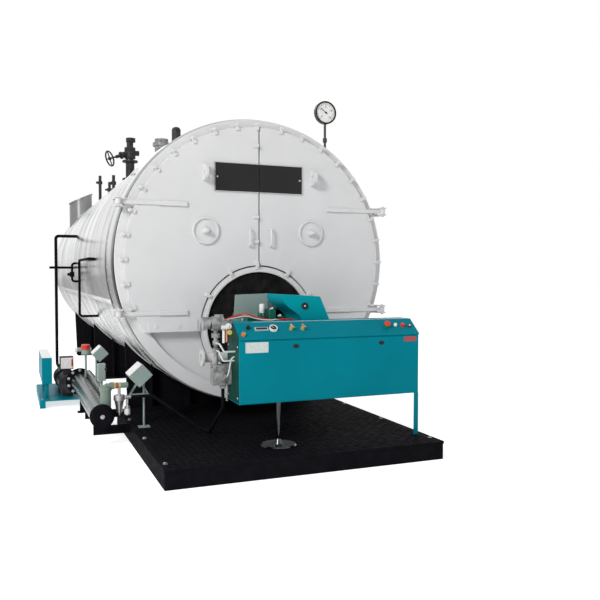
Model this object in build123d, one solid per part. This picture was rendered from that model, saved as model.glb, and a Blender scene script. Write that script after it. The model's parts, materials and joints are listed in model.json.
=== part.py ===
"""Horizontal fire-tube steam boiler with its front-mounted oil burner.

Millimetres. X runs to the right as the firing end is faced, Y runs from the
firing end to the back, Z is up. The origin is on the floor, below the drum's
axis, in the plane of the smokebox doors' faces.
"""
import os
from math import asin, cos, degrees, radians, sin, sqrt

from build123d import *

# Drum
AXIS_Z = 1650  # height of the drum's axis
BARREL_R = 1280  # outside of the steel barrel
BARREL_T = 14
LAGGING = 65  # from the barrel to the outside of the casing
SHEET_T = 12  # casing sheet with its stiffening
DRUM_END_Y = 8600
REAR_HEAD_T = 30
REAR_COVER_R = 320
BAND_START_Y = 130
BAND_END_Y = 500
BEAD_W = 26
BEAD_STAND = 9
SWAGE_R = 6  # half-round swage at the end of each course
COURSE_COUNT = 4
TUBE_PLATE_Y = 520
TUBE_PLATE_T = 24
FLANGE_STAND = 45  # flange beyond the barrel
FLANGE_W = 115
FLANGE_T = 25
SEAT_GAP = 0.3  # clearance at which a closed piece rests

# Fire tubes
TUBE_R = 38
TUBE_WALL = 6
TUBE_PITCH = 210
TUBE_PROUD = 14
TUBE_ROWS = 7
TUBE_EDGE = 110  # least distance from a tube's centre to the barrel
TUBE_FURNACE_GAP = 70

# Smokebox doors
DOOR_LAP = 40  # door over the flange
DOOR_T = 60
DOOR_PLATE_T = 12
LINING_SET_BACK = 8
SEAM_HALF_GAP = 6
DOOR_BOTTOM_DROP = 40  # doors' lower edge below the furnace's axis
DOOR_STRIP_H = 100
DOOR_STRIP_T = 8
DOOR_STRIP_INSETS = (20, 30)  # strip from the cut-out's and the leaf's edge
DOOR_STRIP_BOLTS = (174.184, 62.708)  # bolts from the strip's ends
RING_GAP = 12  # between the doors' cut-out and the burner ring
EDGE_ROUND = 5

# Hinges
HINGE_STAND = 11  # pin axis beyond the clamps
HINGE_Y = -30
HINGE_CLAMPS = ((110, -40.95), (70, 69.95))  # clamp beside each hinge, and the hinge above it
PIN_R = 12
PIN_HEAD = 10
PIN_CLEARANCE = 0.05
KNUCKLE_R = 25
KNUCKLE_H = 50
EAR_T = 12
EAR_GAP = 3
EAR_REACH = 28
STRAP_END_X = 690
STRAP_STEP_X = 950
STRAP_H = 34
STRAP_T = 14
PAD_H = 42  # thicker inner half of a strap
PAD_T = 22

# Door fittings
CLAMP_PITCH_DEG = 10
CLAMP_OFF = 22  # bolt beyond the door's edge
CLAMP_BAR = (30, 70, 16)
CLAMP_END = 4  # bar beyond the bolt
BOLT_R = 13
BOLT_STAND = 34
LUG_ANGLES = (0, 30, 60)
LUG_LAP = 22
COVER_X = 520
COVER_Z = 1920
COVER_R = 125
COVER_T = 26
COVER_RIM = 16
COVER_DISH = 16
CONE_R = (40, 18)
CONE_H = 80
HANDLE_X = 105
HANDLE_Z = 1870
HANDLE_H = 160
HANDLE_R = 9
HANDLE_STAND = 50
EYE_X = 530
EYE_Z = 2450
EYE_R = 75
EYE_T = 25
EYE_HOLE_R = 22
PLATE_W = 870
PLATE_Z = (2285, 2555)
PLATE_T = 8
PLATE_HALF_GAP = 3
SEAM_CLAMP_Z = (1830, 2060, 2720)
SEAM_CLAMP_OFF = 24
SEAM_KNOB_R = 16
POST_HALF_W = 50
POST_T = 60
TRANSOM_H = 120

# Burner ring and lower plate
FURNACE_RISE = 670  # furnace's axis above the bottom of the barrel
RING_R = 555
RING_OPENING_R = 505
RING_FACE_Y = 0.5
RING_LIP = 14
RING_BOLT_COUNT = 12
MOUTH_Y = 20
LOWER_PLATE_Y = 100
LOWER_PLATE_T = 14

# Platform
PLATFORM_X = (-1190, 1130)
PLATFORM_Y = (-1400, 1000)
PLATFORM_H = 150
DECK_T = 10
DECK_LIP = 12
SKIRT_T = 10
PLATFORM_BAYS = (5, 4)

# Saddles
SADDLE_Y = (1300, 4300, 7500)
SADDLE_T = 40
SADDLE_SPREAD_DEG = 52
SADDLE_FOOT_X = 1030
SADDLE_FOOT_W = 320
SADDLE_FOOT_T = 30
SADDLE_RIBS_X = (-800, -400, 0, 400, 800)
RIB_T = 20

# Cabinet
CABINET_X = (-540, 1070)
CABINET_Y = (-1100, -770)
CABINET_Z = (510, 1008)
CABINET_ROUND = 8
PANEL_T = 6
PANEL_MARGIN = 14
STRIP_GAP = 5
STRIP_TOP_Z = 1140
STRIP_TOP_Y = -950
DISPLAY_X = -335
DISPLAY = (110, 34)  # width and height
LEG_W = 42
PEDESTAL_X = -190
PEDESTAL_Y = -1020
PEDESTAL_FOOT_R = 145
PEDESTAL_FOOT_T = 14
PEDESTAL_POST_R = 17
PEDESTAL_CAP = (30, 8)  # radius and thickness under the cabinet

# Burner
HOUSING_X = (-370, 385)
HOUSING_DEPTH = 390
HOUSING_LOW_Z = 640
HOUSING_TOP_Z = 1355
HOOD_X = -60  # left end of the closed hood
BACK_PANEL_T = 12
CHEEK_SLANT = 95
THROAT_R = 190
THROAT_T = 8
INLET_Y = -500
INLET_Z = 820
INLET_END_X = -690
INLET_R = 42
INLET_FLANGE_R = 72
INLET_FLANGE_T = 16
ACTUATOR_R = 58
ACTUATOR_Z = 1132
VALVE_DEPTH = 70  # valves in front of the cabinet's back
VALVE_STEM_OFF = 120
VALVE_RINGS = ((1020, 34), (960, 26), (900, 30))  # height and radius
VALVE_RING_H = 34
VALVE_INLET_OFF = 60
VALVE_INLET_Z = 610
VALVE_BLOCK = (150, 90, 160)  # length, width and height of the lowest block
VALVE_BLOCK_Z = 640
SWITCH_BOX = (62, 120, 62)
DRAIN_R = 9
CONDUIT_R = 7

# Preheater
PREHEATER_X = -1455
PREHEATER_Z = 300
PREHEATER_R = 97
PREHEATER_Y = (-60, 2020)
PREHEATER_CAP_T = 50
PREHEATER_FLANGE_R = 150
PREHEATER_ARMS_Y = (60, 800)
PREHEATER_ARM_Z = (110, 190)
PREHEATER_FOOT_Y = 1750
PREHEATER_FOOT_HALF = 50
CRADLE_HALF = 60
SIDE_TUBE_R = 38
SIDE_TUBE_LAP = 6
SIDE_TUBE_START = 560  # from the front of the vessel
OUTLET_R = 46
OUTLET_Y = 0
OUTLET_Z = 548
OUTLET_END_X = -1225
CROSS_PIPE_R = 24

# Oil gear
GEAR_POST_X = -1075
GEAR_POST_R = 9
GEAR_POST_FOOT = (50, 40, 8)
GEAR_Y = 60
GEAR_BOX = (135, 240, 158)
GEAR_BOX_AT = (-1118, 629)
GEAR_TILT = 48
BRACKET_Z = (440, 590)
BRACKET_HALF = 95
REAR_BOX = (105, 200, 125)
REAR_BOX_AT = (-1330, 705)
REAR_BOX_Y = 1200
ACTUATOR_Y = 1750  # valve actuator on top of the preheater
OIL_ACTUATOR_Z = (640, 745)
OIL_SWITCH = (70, 80, 154)  # length, depth and height of the switch on the preheater
OIL_SWITCH_Y = 300
OIL_ACTUATOR_R = 45
STRAINER_X = -1300
STRAINER_Z = 440  # height of its outlet
STRAINER_OUTLET = 100
SKID_X = (-1880, -1330)
SKID_Y = (2120, 3400)
SKID_H = 90
PUMP_X = -1570
PUMP_RISE = 150  # shaft above the skid
PUMP_R = 120
PUMP_Y = (600, 900)  # from the front of the skid
PUMP_NOSE = 60
MOTOR_R = 100
MOTOR_Y = 120
DRIVE_BOX = (150, 140, 145)
TERMINAL_BOX = (110, 1000, 300)
TERMINAL_RISE = 165

# Pipes
FUEL_PIPE_R = 14
FUEL_PIPE_RUN = 190  # straight out of the strainer
FUEL_PIPE_BENDS = (230, 420)  # its lower bends in front of the strainer's outlet
SIDE_PIPE_R = 21
TALL_PIPE_Y = 4300
TALL_PIPE_TOP = 2059
STAY_Z = 1611
THIN_PIPE_R = 15
THIN_PIPE_STAND = 55
THIN_PIPE_Y = (1500, 2600)
THIN_PIPE_Z = (1010, 1685)
ANGLE_PIPE_Y = 3700
ANGLE_PIPE_Z = (1420, 1665)
DRUM_REACH = 200  # side pipes start this far inside the casing

# Crown fittings
NOZZLE_Y = 4600
NOZZLE_R = 102
NOZZLE_TOP = 3590
VENT_Y = 3560
VENT_R = 62
VENT_TOP = 3580
VALVE_X = -400
VALVE_Y = 5100
VALVE_R = 85
VALVE_TOP = 3665
SPINDLE_DROP = 230  # from the valve's top to where the spindle meets its axis
SPINDLE_R = 14
SPINDLE_TURN = 18  # towards the front
SPINDLE_DIP = 20  # down to the wheel
WHEEL_R = 115
WHEEL_OFF = 365
SMALL_VALVE_X = -650
FLUE_INSET = 405  # flue's axis from the casing's side
FLUE_Y = 7500
FLUE_R = 200
FLUE_T = 10
FLUE_STAND = (-158, 27)  # mitre's outer and inner side above the casing's crown
FLUE_RIM = (12, 24)
GAUGE_X = 764
GAUGE_Y = 200
GAUGE_Z = 3140
GAUGE_R = 113
GAUGE_T = 60
STEM_R = 12

# Sizes that follow
CASING_R = BARREL_R + LAGGING
FLANGE_R = BARREL_R + FLANGE_STAND
FLANGE_INNER_R = FLANGE_R - FLANGE_W
FLANGE_Y = (DOOR_T + SEAT_GAP, DOOR_T + SEAT_GAP + FLANGE_T)
DOOR_R = FLANGE_INNER_R + DOOR_LAP
CLAMP_R = DOOR_R + CLAMP_OFF
CLAMP_END_R = CLAMP_R + BOLT_R + CLAMP_END
HINGE_X = CLAMP_END_R + HINGE_STAND
INSIDE_R = BARREL_R - BARREL_T
FURNACE_Z = AXIS_Z - BARREL_R + FURNACE_RISE
DOOR_BOTTOM_Z = FURNACE_Z - DOOR_BOTTOM_DROP
HINGE_Z = [AXIS_Z + CLAMP_R * cos(radians(angle)) + off for angle, off in HINGE_CLAMPS]
SPINDLE_Z = VALVE_TOP - SPINDLE_DROP
FLUE_X = FLUE_INSET - CASING_R
FLUE_TOP = [AXIS_Z + CASING_R + stand for stand in FLUE_STAND]
SIDE_TUBE_OFF = (PREHEATER_R + SIDE_TUBE_R - SIDE_TUBE_LAP) / sqrt(2)
SIDE_TUBE_X = PREHEATER_X + SIDE_TUBE_OFF
SIDE_TUBE_Z = PREHEATER_Z + SIDE_TUBE_OFF


def bar(x, y, z):
    """Rectangular bar between three pairs of corner values."""
    size = [b - a for a, b in (x, y, z)]
    middle = [(a + b) / 2 for a, b in (x, y, z)]
    return Pos(*middle) * Box(*size)


def round_x(radius, x, y, z):
    """Round bar along X."""
    return Pos(sum(x) / 2, y, z) * Rot(Y=90) * Cylinder(radius, x[1] - x[0])


def round_y(radius, y, x=0, z=AXIS_Z):
    """Round bar along Y."""
    return Pos(x, sum(y) / 2, z) * Rot(X=90) * Cylinder(radius, y[1] - y[0])


def round_z(radius, z, x, y):
    """Round bar along Z."""
    return Pos(x, y, sum(z) / 2) * Cylinder(radius, z[1] - z[0])


def tube_y(outer, inner, y, x=0, z=AXIS_Z):
    """Tube along Y."""
    return round_y(outer, y, x, z) - round_y(inner, (y[0] - 1, y[1] + 1), x, z)


def turned_y(points, x=0, z=AXIS_Z):
    """Solid turned about a line along Y, from a profile of radius and Y pairs."""
    profile = make_face(Polyline([(r, y) for r, y in points], close=True))
    return Pos(x, 0, z) * revolve(profile, Axis.Y)


def hex_y(radius, y, x, z):
    """Hexagonal bar along Y, of a given radius over its corners."""
    face = Plane((x, y[0], z), x_dir=(1, 0, 0), z_dir=(0, 1, 0)) * RegularPolygon(radius, 6)
    return extrude(face, y[1] - y[0])


def prism_x(points, x):
    """Prism along X from a profile of Y and Z pairs."""
    face = Plane((x[0], 0, 0), x_dir=(0, 1, 0), z_dir=(1, 0, 0)) * make_face(Polyline(points, close=True))
    return extrude(face, x[1] - x[0])


def prism_y(points, y):
    """Prism along Y from a profile of X and Z pairs."""
    face = Plane((0, y[0], 0), x_dir=(1, 0, 0), z_dir=(0, -1, 0)) * make_face(Polyline(points, close=True))
    return extrude(face, y[0] - y[1])


def bent_pipe(points, pipe_r, bend_r):
    """Pipe along straight runs joined by tangent bends."""
    path = FilletPolyline(points, radius=bend_r)
    start = Plane(origin=path @ 0, z_dir=path % 0)
    return sweep(start * Circle(pipe_r), path)


def at_clock(shape, angle, centre_z=AXIS_Z):
    """Turn a shape from twelve o'clock round a line along Y, clockwise as seen from the front."""
    return Pos(0, 0, centre_z) * Rot(Y=angle) * Pos(0, 0, -centre_z) * shape


def on_side(shape, side):
    """The shape itself on the right, or its mirror image on the left."""
    return shape if side > 0 else mirror(shape, Plane.YZ)


def drum_space():
    """The room that the cased drum takes up."""
    return round_y(CASING_R, (BAND_START_Y, DRUM_END_Y))


def furnace_space():
    """The room that the burner ring and neck take up."""
    return round_y(RING_R, (-1, DRUM_END_Y), z=FURNACE_Z)


def casing_height(x):
    """Height of the casing's top at a distance from the middle."""
    return AXIS_Z + sqrt(CASING_R**2 - x**2)


# Drum and casing

def front_flange():
    """Flange that the doors close on, welded to the front of the barrel."""
    y0, y1 = FLANGE_Y
    chamfer = 4
    return turned_y(
        [
            (FLANGE_INNER_R, y0),
            (FLANGE_R - chamfer, y0),
            (FLANGE_R, y0 + chamfer),
            (FLANGE_R, y1),
            (BARREL_R, y1),
            (BARREL_R, TUBE_PLATE_Y),
            (INSIDE_R, TUBE_PLATE_Y),
            (INSIDE_R, y1),
            (FLANGE_INNER_R, y1),
        ]
    )


def front_casing_band():
    """First casing band, with a lip down to the barrel at its free edge."""
    y0, y1 = BAND_START_Y, BAND_END_Y
    inner = CASING_R - SHEET_T
    return turned_y(
        [
            (BARREL_R, y0),
            (CASING_R - SHEET_T / 2, y0),
            (CASING_R, y0 + SHEET_T / 2),
            (CASING_R, y1),
            (inner, y1),
            (inner, y0 + SHEET_T),
            (BARREL_R, y0 + SHEET_T),
        ]
    )


def casing_bead():
    """Rolled bead between the front band and the first course."""
    y0, y1 = BAND_END_Y, BAND_END_Y + BEAD_W
    top = CASING_R + BEAD_STAND
    return turned_y(
        [(BARREL_R, y0), (top - 4, y0), (top, y0 + 6), (top, y1 - 6), (top - 4, y1), (BARREL_R, y1)]
    )


def casing_course(y0, y1):
    """Casing course with a half-round swage beside its back edge."""
    skin = tube_y(CASING_R, CASING_R - SHEET_T, (y0, y1))
    swage_y = y1 - 40
    swage = Pos(0, swage_y, AXIS_Z) * Rot(X=90) * Torus(CASING_R, SWAGE_R)
    return skin + (swage - round_y(CASING_R - SHEET_T / 2, (y0, y1)))


def tube_places():
    """Centres of the fire tubes, in rows above and beside the furnace."""
    places = []
    for row in range(TUBE_ROWS):
        z = AXIS_Z - TUBE_PITCH + row * TUBE_PITCH
        count = int(2 * INSIDE_R / TUBE_PITCH)
        for k in range(-count, count + 1):
            x = (k + 0.5 * (row % 2)) * TUBE_PITCH
            inside = x**2 + (z - AXIS_Z) ** 2 < (INSIDE_R - TUBE_EDGE) ** 2
            clear = x**2 + (z - FURNACE_Z) ** 2 > (RING_R + TUBE_FURNACE_GAP) ** 2
            if inside and clear and abs(x) > POST_HALF_W + TUBE_R:
                places.append((x, z))
    return places


def front_tube_plate():
    """Tube plate at the back of the smokebox, with the rolled ends of the fire tubes."""
    y0 = TUBE_PLATE_Y - TUBE_PLATE_T
    plate = round_y(INSIDE_R, (y0, TUBE_PLATE_Y)) - furnace_space()
    ends = []
    for x, z in tube_places():
        ends.append(tube_y(TUBE_R, TUBE_R - TUBE_WALL, (y0 - TUBE_PROUD, y0), x, z))
    return plate + ends


def furnace_neck():
    """Short tube that carries the burner ring through the smokebox."""
    return tube_y(RING_R, RING_R - BARREL_T, (DOOR_T, TUBE_PLATE_Y + 200), z=FURNACE_Z)


def rear_head():
    """Flat lagged head at the back, with a rolled edge."""
    y0, y1 = DRUM_END_Y, DRUM_END_Y + REAR_HEAD_T
    return turned_y([(0, y0), (CASING_R, y0), (CASING_R, y1 - 12), (CASING_R - 12, y1), (0, y1)])


def rear_inspection_cover():
    """Bolted inspection cover on the rear head."""
    y, outer = DRUM_END_Y + REAR_HEAD_T, REAR_COVER_R
    cover = turned_y([(0, y), (outer, y), (outer, y + 22), (outer - 60, y + 30), (0, y + 30)], z=FURNACE_Z)
    for k in range(RING_BOLT_COUNT):
        bolt = hex_y(BOLT_R, (y + 22, y + 40), 0, FURNACE_Z + outer - 2 * BOLT_R)
        cover += at_clock(bolt, k * 360 / RING_BOLT_COUNT, FURNACE_Z)
    return cover


# Smokebox front

def door_outline():
    """Half of the round front, above the chord and cut out round the burner ring."""
    half = (DOOR_R - SEAM_HALF_GAP) / 2
    middle_x = SEAM_HALF_GAP + half
    height = AXIS_Z + DOOR_R - DOOR_BOTTOM_Z
    box = Pos(middle_x, DOOR_BOTTOM_Z + height / 2) * Rectangle(2 * half, height)
    disc = Pos(0, AXIS_Z) * Circle(DOOR_R)
    return box & disc - Pos(0, FURNACE_Z) * Circle(RING_R + RING_GAP)


def door_plane(y):
    """Upright plane facing forwards at a given Y."""
    return Plane((0, y, 0), x_dir=(1, 0, 0), z_dir=(0, -1, 0))


def door_leaf(side):
    """Dished steel leaf with a bolting strip along its bottom edge."""
    outline = door_outline()
    leaf = extrude(door_plane(DOOR_T) * outline, DOOR_T)
    front = leaf.faces().sort_by(Axis.Y)[0]
    leaf = fillet(front.edges(), EDGE_ROUND)
    inner = offset(outline, -DOOR_PLATE_T)
    leaf -= extrude(door_plane(DOOR_T + 1) * inner, DOOR_T + 1 - DOOR_PLATE_T)
    cut_edge = sqrt((RING_R + RING_GAP) ** 2 - (DOOR_BOTTOM_Z + DOOR_STRIP_H - FURNACE_Z) ** 2)
    start = cut_edge + DOOR_PLATE_T + DOOR_STRIP_INSETS[0]
    end = sqrt(DOOR_R**2 - (AXIS_Z - DOOR_BOTTOM_Z) ** 2) - DOOR_STRIP_INSETS[1]
    strip_z = (DOOR_BOTTOM_Z + EDGE_ROUND, DOOR_BOTTOM_Z + DOOR_STRIP_H)
    leaf += bar((start, end), (-DOOR_STRIP_T, 0), strip_z)
    for x in (start + DOOR_STRIP_BOLTS[0], end - DOOR_STRIP_BOLTS[1]):
        leaf += hex_y(BOLT_R, (-DOOR_STRIP_T - 10, -DOOR_STRIP_T), x, DOOR_BOTTOM_Z + DOOR_STRIP_H / 2)
    return on_side(leaf, side)


def door_lining(side):
    """Refractory slab inside the leaf."""
    inner = offset(door_outline(), -DOOR_PLATE_T)
    slab = extrude(door_plane(DOOR_T - LINING_SET_BACK) * inner, DOOR_T - LINING_SET_BACK - DOOR_PLATE_T)
    return on_side(slab, side)


def hinge_straps(side):
    """Two strap hinges across the leaf, each ending in a bored knuckle."""
    straps = []
    for z in HINGE_Z:
        half = STRAP_H / 2
        strap = bar((STRAP_STEP_X, HINGE_X), (-STRAP_T, 0), (z - half, z + half))
        pad = bar((STRAP_END_X, STRAP_STEP_X), (-PAD_T, 0), (z - PAD_H / 2, z + PAD_H / 2))
        strap += fillet(pad.edges().filter_by(Axis.X).group_by(Axis.Y)[0], EDGE_ROUND)
        knuckle_z = (z - KNUCKLE_H / 2, z + KNUCKLE_H / 2)
        strap += round_z(KNUCKLE_R, knuckle_z, HINGE_X, HINGE_Y)
        strap -= round_z(PIN_R + PIN_CLEARANCE, (z - KNUCKLE_H, z + KNUCKLE_H), HINGE_X, HINGE_Y)
        straps.append(strap)
    return on_side(Part() + straps, side)


def hinge_brackets(side):
    """Eared brackets on the flange, each holding its pin."""
    brackets = []
    half = KNUCKLE_H / 2 + EAR_GAP
    outer = HINGE_X + EAR_REACH
    for z in HINGE_Z:
        root_x = sqrt(FLANGE_R**2 - (abs(z - AXIS_Z) + half + EAR_T) ** 2) - 10
        whole = round_z(PIN_R, (z - half - EAR_T - PIN_HEAD, z + half + EAR_T + PIN_HEAD), HINGE_X, HINGE_Y)
        for low in (z - half - EAR_T, z + half):
            ear_z = (low, low + EAR_T)
            whole += bar((HINGE_X - EAR_REACH, outer), (HINGE_Y - EAR_REACH, BAND_START_Y), ear_z)
            whole += bar((root_x, outer), (FLANGE_Y[0], BAND_START_Y), ear_z)
        whole += bar((root_x, outer), (BAND_START_Y - EAR_T, BAND_START_Y), (z - half, z + half))
        brackets.append(whole - round_y(FLANGE_R, FLANGE_Y) - round_y(BARREL_R, (0, BAND_START_Y + 1)))
    return on_side(Part() + brackets, side)


def edge_clamp():
    """Clamp bar with its captive bolt, at twelve o'clock on the door's edge."""
    width, length, thick = CLAMP_BAR
    outer = AXIS_Z + CLAMP_END_R
    clamp = bar((-width / 2, width / 2), (-thick, 0), (outer - length, outer))
    clamp = fillet(clamp.edges().filter_by(Axis.X).group_by(Axis.Y)[0], 5)
    return clamp + hex_y(BOLT_R, (-BOLT_STAND, DOOR_T), 0, AXIS_Z + CLAMP_R)


def ring_clamp():
    """Clamp on the doors' cut-out, with its toe on the burner ring."""
    width, length, thick = CLAMP_BAR
    inner = FURNACE_Z + RING_R - LUG_LAP
    clamp = bar((-width / 2, width / 2), (-thick - 4, 0), (inner, inner + length))
    clamp = fillet(clamp.edges().filter_by(Axis.X).group_by(Axis.Y)[0], 5)
    return clamp + hex_y(BOLT_R, (-thick - 16, -thick - 4), 0, inner + length / 2)


def seam_clamp(z):
    """Round knob on a small plate beside the seam."""
    x = -SEAM_HALF_GAP - SEAM_CLAMP_OFF
    clamp = bar((x - 30, x + 20), (-14, 0), (z - 16, z + 16))
    return clamp + round_y(SEAM_KNOB_R, (-40, -14), x, z)


def door_clamps(side):
    """Clamps along the edges of one leaf. Those on the seam are on the left leaf."""
    clamps = []
    beside_seam = SEAM_HALF_GAP + CLAMP_BAR[0] / 2 + 2
    lowest = DOOR_BOTTOM_Z + DOOR_STRIP_H - AXIS_Z
    for k in range(180 // CLAMP_PITCH_DEG):
        angle = k * CLAMP_PITCH_DEG or degrees(asin(beside_seam / CLAMP_R))
        on_seam = k == 0
        if cos(radians(angle)) * CLAMP_R > lowest and not (on_seam and side > 0):
            clamps.append(at_clock(edge_clamp(), side * angle))
    for lug_angle in LUG_ANGLES:
        angle = lug_angle or degrees(asin(beside_seam / RING_R))
        if lug_angle or side < 0:
            clamps.append(at_clock(ring_clamp(), side * angle, FURNACE_Z))
    if side < 0:
        clamps += [seam_clamp(z) for z in SEAM_CLAMP_Z]
    return Part() + clamps


def inspection_cover(side):
    """Round dished cover with a raised rim and a conical hand nut."""
    rim, dish = COVER_R - COVER_RIM, COVER_T - COVER_DISH
    profile = [
        (0, 0),
        (COVER_R, 0),
        (COVER_R, -COVER_T + 4),
        (COVER_R - 4, -COVER_T),
        (rim, -COVER_T),
        (rim, -dish),
        (CONE_R[0], -dish - 4),
        (CONE_R[1], -dish - CONE_H + 8),
        (CONE_R[1] - 6, -dish - CONE_H),
        (0, -dish - CONE_H),
    ]
    return turned_y(profile, side * COVER_X, COVER_Z)


def door_handle(side):
    """Upright D handle near the seam."""
    x = side * HANDLE_X
    low, high = HANDLE_Z - HANDLE_H / 2, HANDLE_Z + HANDLE_H / 2
    points = [(x, 0, low), (x, -HANDLE_STAND, low), (x, -HANDLE_STAND, high), (x, 0, high)]
    return bent_pipe(points, HANDLE_R, 2 * HANDLE_R)


def lifting_eye(side):
    """Rounded lifting ear with a shackle hole."""
    x = side * EYE_X
    middle = EYE_R - 20
    ear = round_x(EYE_R, (x - EYE_T / 2, x + EYE_T / 2), -middle, EYE_Z)
    ear += bar((x - EYE_T / 2, x + EYE_T / 2), (-middle, 0), (EYE_Z - EYE_R, EYE_Z + EYE_R))
    ear &= bar((x - EYE_T, x + EYE_T), (-3 * EYE_R, 0), (EYE_Z - EYE_R, EYE_Z + EYE_R))
    return ear - round_x(EYE_HOLE_R, (x - EYE_T, x + EYE_T), -middle, EYE_Z)


def name_plate(side):
    """Bare plate, halved at the seam so that each leaf carries its half."""
    return on_side(bar((PLATE_HALF_GAP, PLATE_W / 2), (-PLATE_T, 0), PLATE_Z), side)


def centre_post():
    """Post behind the seam that both leaves seat on."""
    y = (FLANGE_Y[0], FLANGE_Y[0] + POST_T)
    post = bar((-POST_HALF_W, POST_HALF_W), y, (FURNACE_Z, AXIS_Z + FLANGE_INNER_R + 20))
    return (post - furnace_space()) & round_y(FLANGE_INNER_R, (0, y[1] + 1))


def transom_rails():
    """Cross bars behind the bottom edges of the leaves."""
    z = (DOOR_BOTTOM_Z, DOOR_BOTTOM_Z + TRANSOM_H)
    y = (FLANGE_Y[0], LOWER_PLATE_Y)
    whole = bar((-FLANGE_R, FLANGE_R), y, z) & round_y(FLANGE_INNER_R, (0, y[1] + 1))
    return whole - furnace_space()


def lower_front_plate():
    """Fixed plate below the doors, set back inside the flange."""
    y = (LOWER_PLATE_Y, LOWER_PLATE_Y + LOWER_PLATE_T)
    top = DOOR_BOTTOM_Z + TRANSOM_H / 2
    plate = round_y(INSIDE_R, y) & bar((-FLANGE_R, FLANGE_R), y, (0, top))
    return plate - furnace_space()


def burner_ring():
    """Ring flange round the furnace mouth, with a raised lip and bolts below the doors."""
    lip = RING_OPENING_R + 24
    ring = turned_y(
        [
            (RING_OPENING_R, DOOR_T),
            (RING_OPENING_R, RING_FACE_Y - RING_LIP + 5),
            (RING_OPENING_R + 5, RING_FACE_Y - RING_LIP),
            (lip, RING_FACE_Y - RING_LIP),
            (lip, RING_FACE_Y),
            (RING_R, RING_FACE_Y),
            (RING_R, DOOR_T),
        ],
        z=FURNACE_Z,
    )
    for k in range(RING_BOLT_COUNT):
        angle = k * 360 / RING_BOLT_COUNT
        if cos(radians(angle)) * RING_R < DOOR_BOTTOM_Z - FURNACE_Z:
            bolt = hex_y(BOLT_R, (RING_FACE_Y - 26, RING_FACE_Y), 0, FURNACE_Z + (lip + RING_R) / 2)
            ring += at_clock(bolt, angle, FURNACE_Z)
    return ring


def burner_plate():
    """Refractory plate in the furnace mouth, bored for the blast tube."""
    plate = round_y(RING_OPENING_R, (MOUTH_Y, DOOR_T), z=FURNACE_Z)
    return plate - round_y(THROAT_R, (0, DOOR_T + 1), z=FURNACE_Z)


# Base

def platform_deck():
    """Deck plate with its edges turned down over the frame."""
    deck = bar(PLATFORM_X, PLATFORM_Y, (PLATFORM_H - DECK_T - DECK_LIP, PLATFORM_H))
    inner_y = (PLATFORM_Y[0] + DECK_T / 2, PLATFORM_Y[1] - DECK_T / 2)
    inner_x = (PLATFORM_X[0] + DECK_T / 2, PLATFORM_X[1] - DECK_T / 2)
    return deck - bar(inner_x, inner_y, (0, PLATFORM_H - DECK_T))


def platform_frame():
    """Welded frame of flat bars under the deck."""
    z = (0, PLATFORM_H - DECK_T)
    x0, y0 = PLATFORM_X[0] + DECK_T / 2, PLATFORM_Y[0] + DECK_T / 2
    length, depth = PLATFORM_X[1] - DECK_T / 2 - x0, PLATFORM_Y[1] - DECK_T / 2 - y0
    frame = bar((x0, x0 + length), (y0, y0 + depth), z)
    bays_x, bays_y = PLATFORM_BAYS
    step_x = (length - SKIRT_T) / bays_x
    step_y = (depth - SKIRT_T) / bays_y
    for i in range(bays_x):
        for j in range(bays_y):
            low_x, low_y = x0 + SKIRT_T + i * step_x, y0 + SKIRT_T + j * step_y
            bay_x = (low_x, low_x + step_x - SKIRT_T)
            bay_y = (low_y, low_y + step_y - SKIRT_T)
            frame -= bar(bay_x, bay_y, (-1, z[1] + 1))
    return frame


def saddle(y):
    """Ribbed saddle under the drum, on a foot plate."""
    reach = CASING_R * sin(radians(SADDLE_SPREAD_DEG))
    top = AXIS_Z - CASING_R * cos(radians(SADDLE_SPREAD_DEG))
    half = SADDLE_FOOT_W / 2
    low = SADDLE_FOOT_T
    outline = [(-SADDLE_FOOT_X, low), (SADDLE_FOOT_X, low), (reach, top), (-reach, top)]
    whole = prism_y(outline, (y - SADDLE_T / 2, y + SADDLE_T / 2))
    for x in SADDLE_RIBS_X:
        rib_top = AXIS_Z - sqrt(CASING_R**2 - x**2) + 40
        whole += bar((x - RIB_T / 2, x + RIB_T / 2), (y - half + 20, y + half - 20), (low, rib_top))
    whole += bar((-SADDLE_FOOT_X, SADDLE_FOOT_X), (y - half, y + half), (0, low))
    return whole - drum_space()


# Cabinet

def cabinet_body():
    """Long cabinet with a raised front cover."""
    body = bar(CABINET_X, (CABINET_Y[0] + PANEL_T, CABINET_Y[1]), CABINET_Z)
    body = fillet(body.edges().filter_by(Axis.Z), CABINET_ROUND)
    cover_x = (CABINET_X[0] + PANEL_MARGIN / 2, CABINET_X[1] - PANEL_MARGIN / 2)
    cover_z = (CABINET_Z[0] + PANEL_MARGIN / 2, CABINET_Z[1] - PANEL_MARGIN / 2)
    return body + bar(cover_x, (CABINET_Y[0], CABINET_Y[0] + PANEL_T), cover_z)


def strip_profile():
    """Side view of the sloped control strip."""
    low = CABINET_Z[1]
    return [
        (CABINET_Y[0] + PANEL_T + STRIP_GAP, low),
        (CABINET_Y[1], low),
        (CABINET_Y[1], STRIP_TOP_Z),
        (STRIP_TOP_Y, STRIP_TOP_Z),
        (CABINET_Y[0], low + 3 * STRIP_GAP),
        (CABINET_Y[0], low + STRIP_GAP),
        (CABINET_Y[0] + PANEL_T + STRIP_GAP, low + STRIP_GAP),
    ]


def control_strip():
    """Sloped control strip along the top of the cabinet."""
    return prism_x(strip_profile(), CABINET_X)


def strip_place(x, up):
    """Plane on the strip's slope: x along it, and a share of the way up."""
    y0, z0 = CABINET_Y[0], CABINET_Z[1] + 3 * STRIP_GAP
    dy, dz = STRIP_TOP_Y - y0, STRIP_TOP_Z - z0
    return Plane((x, y0 + up * dy, z0 + up * dz), x_dir=(1, 0, 0), z_dir=(0, -dz, dy))


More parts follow.
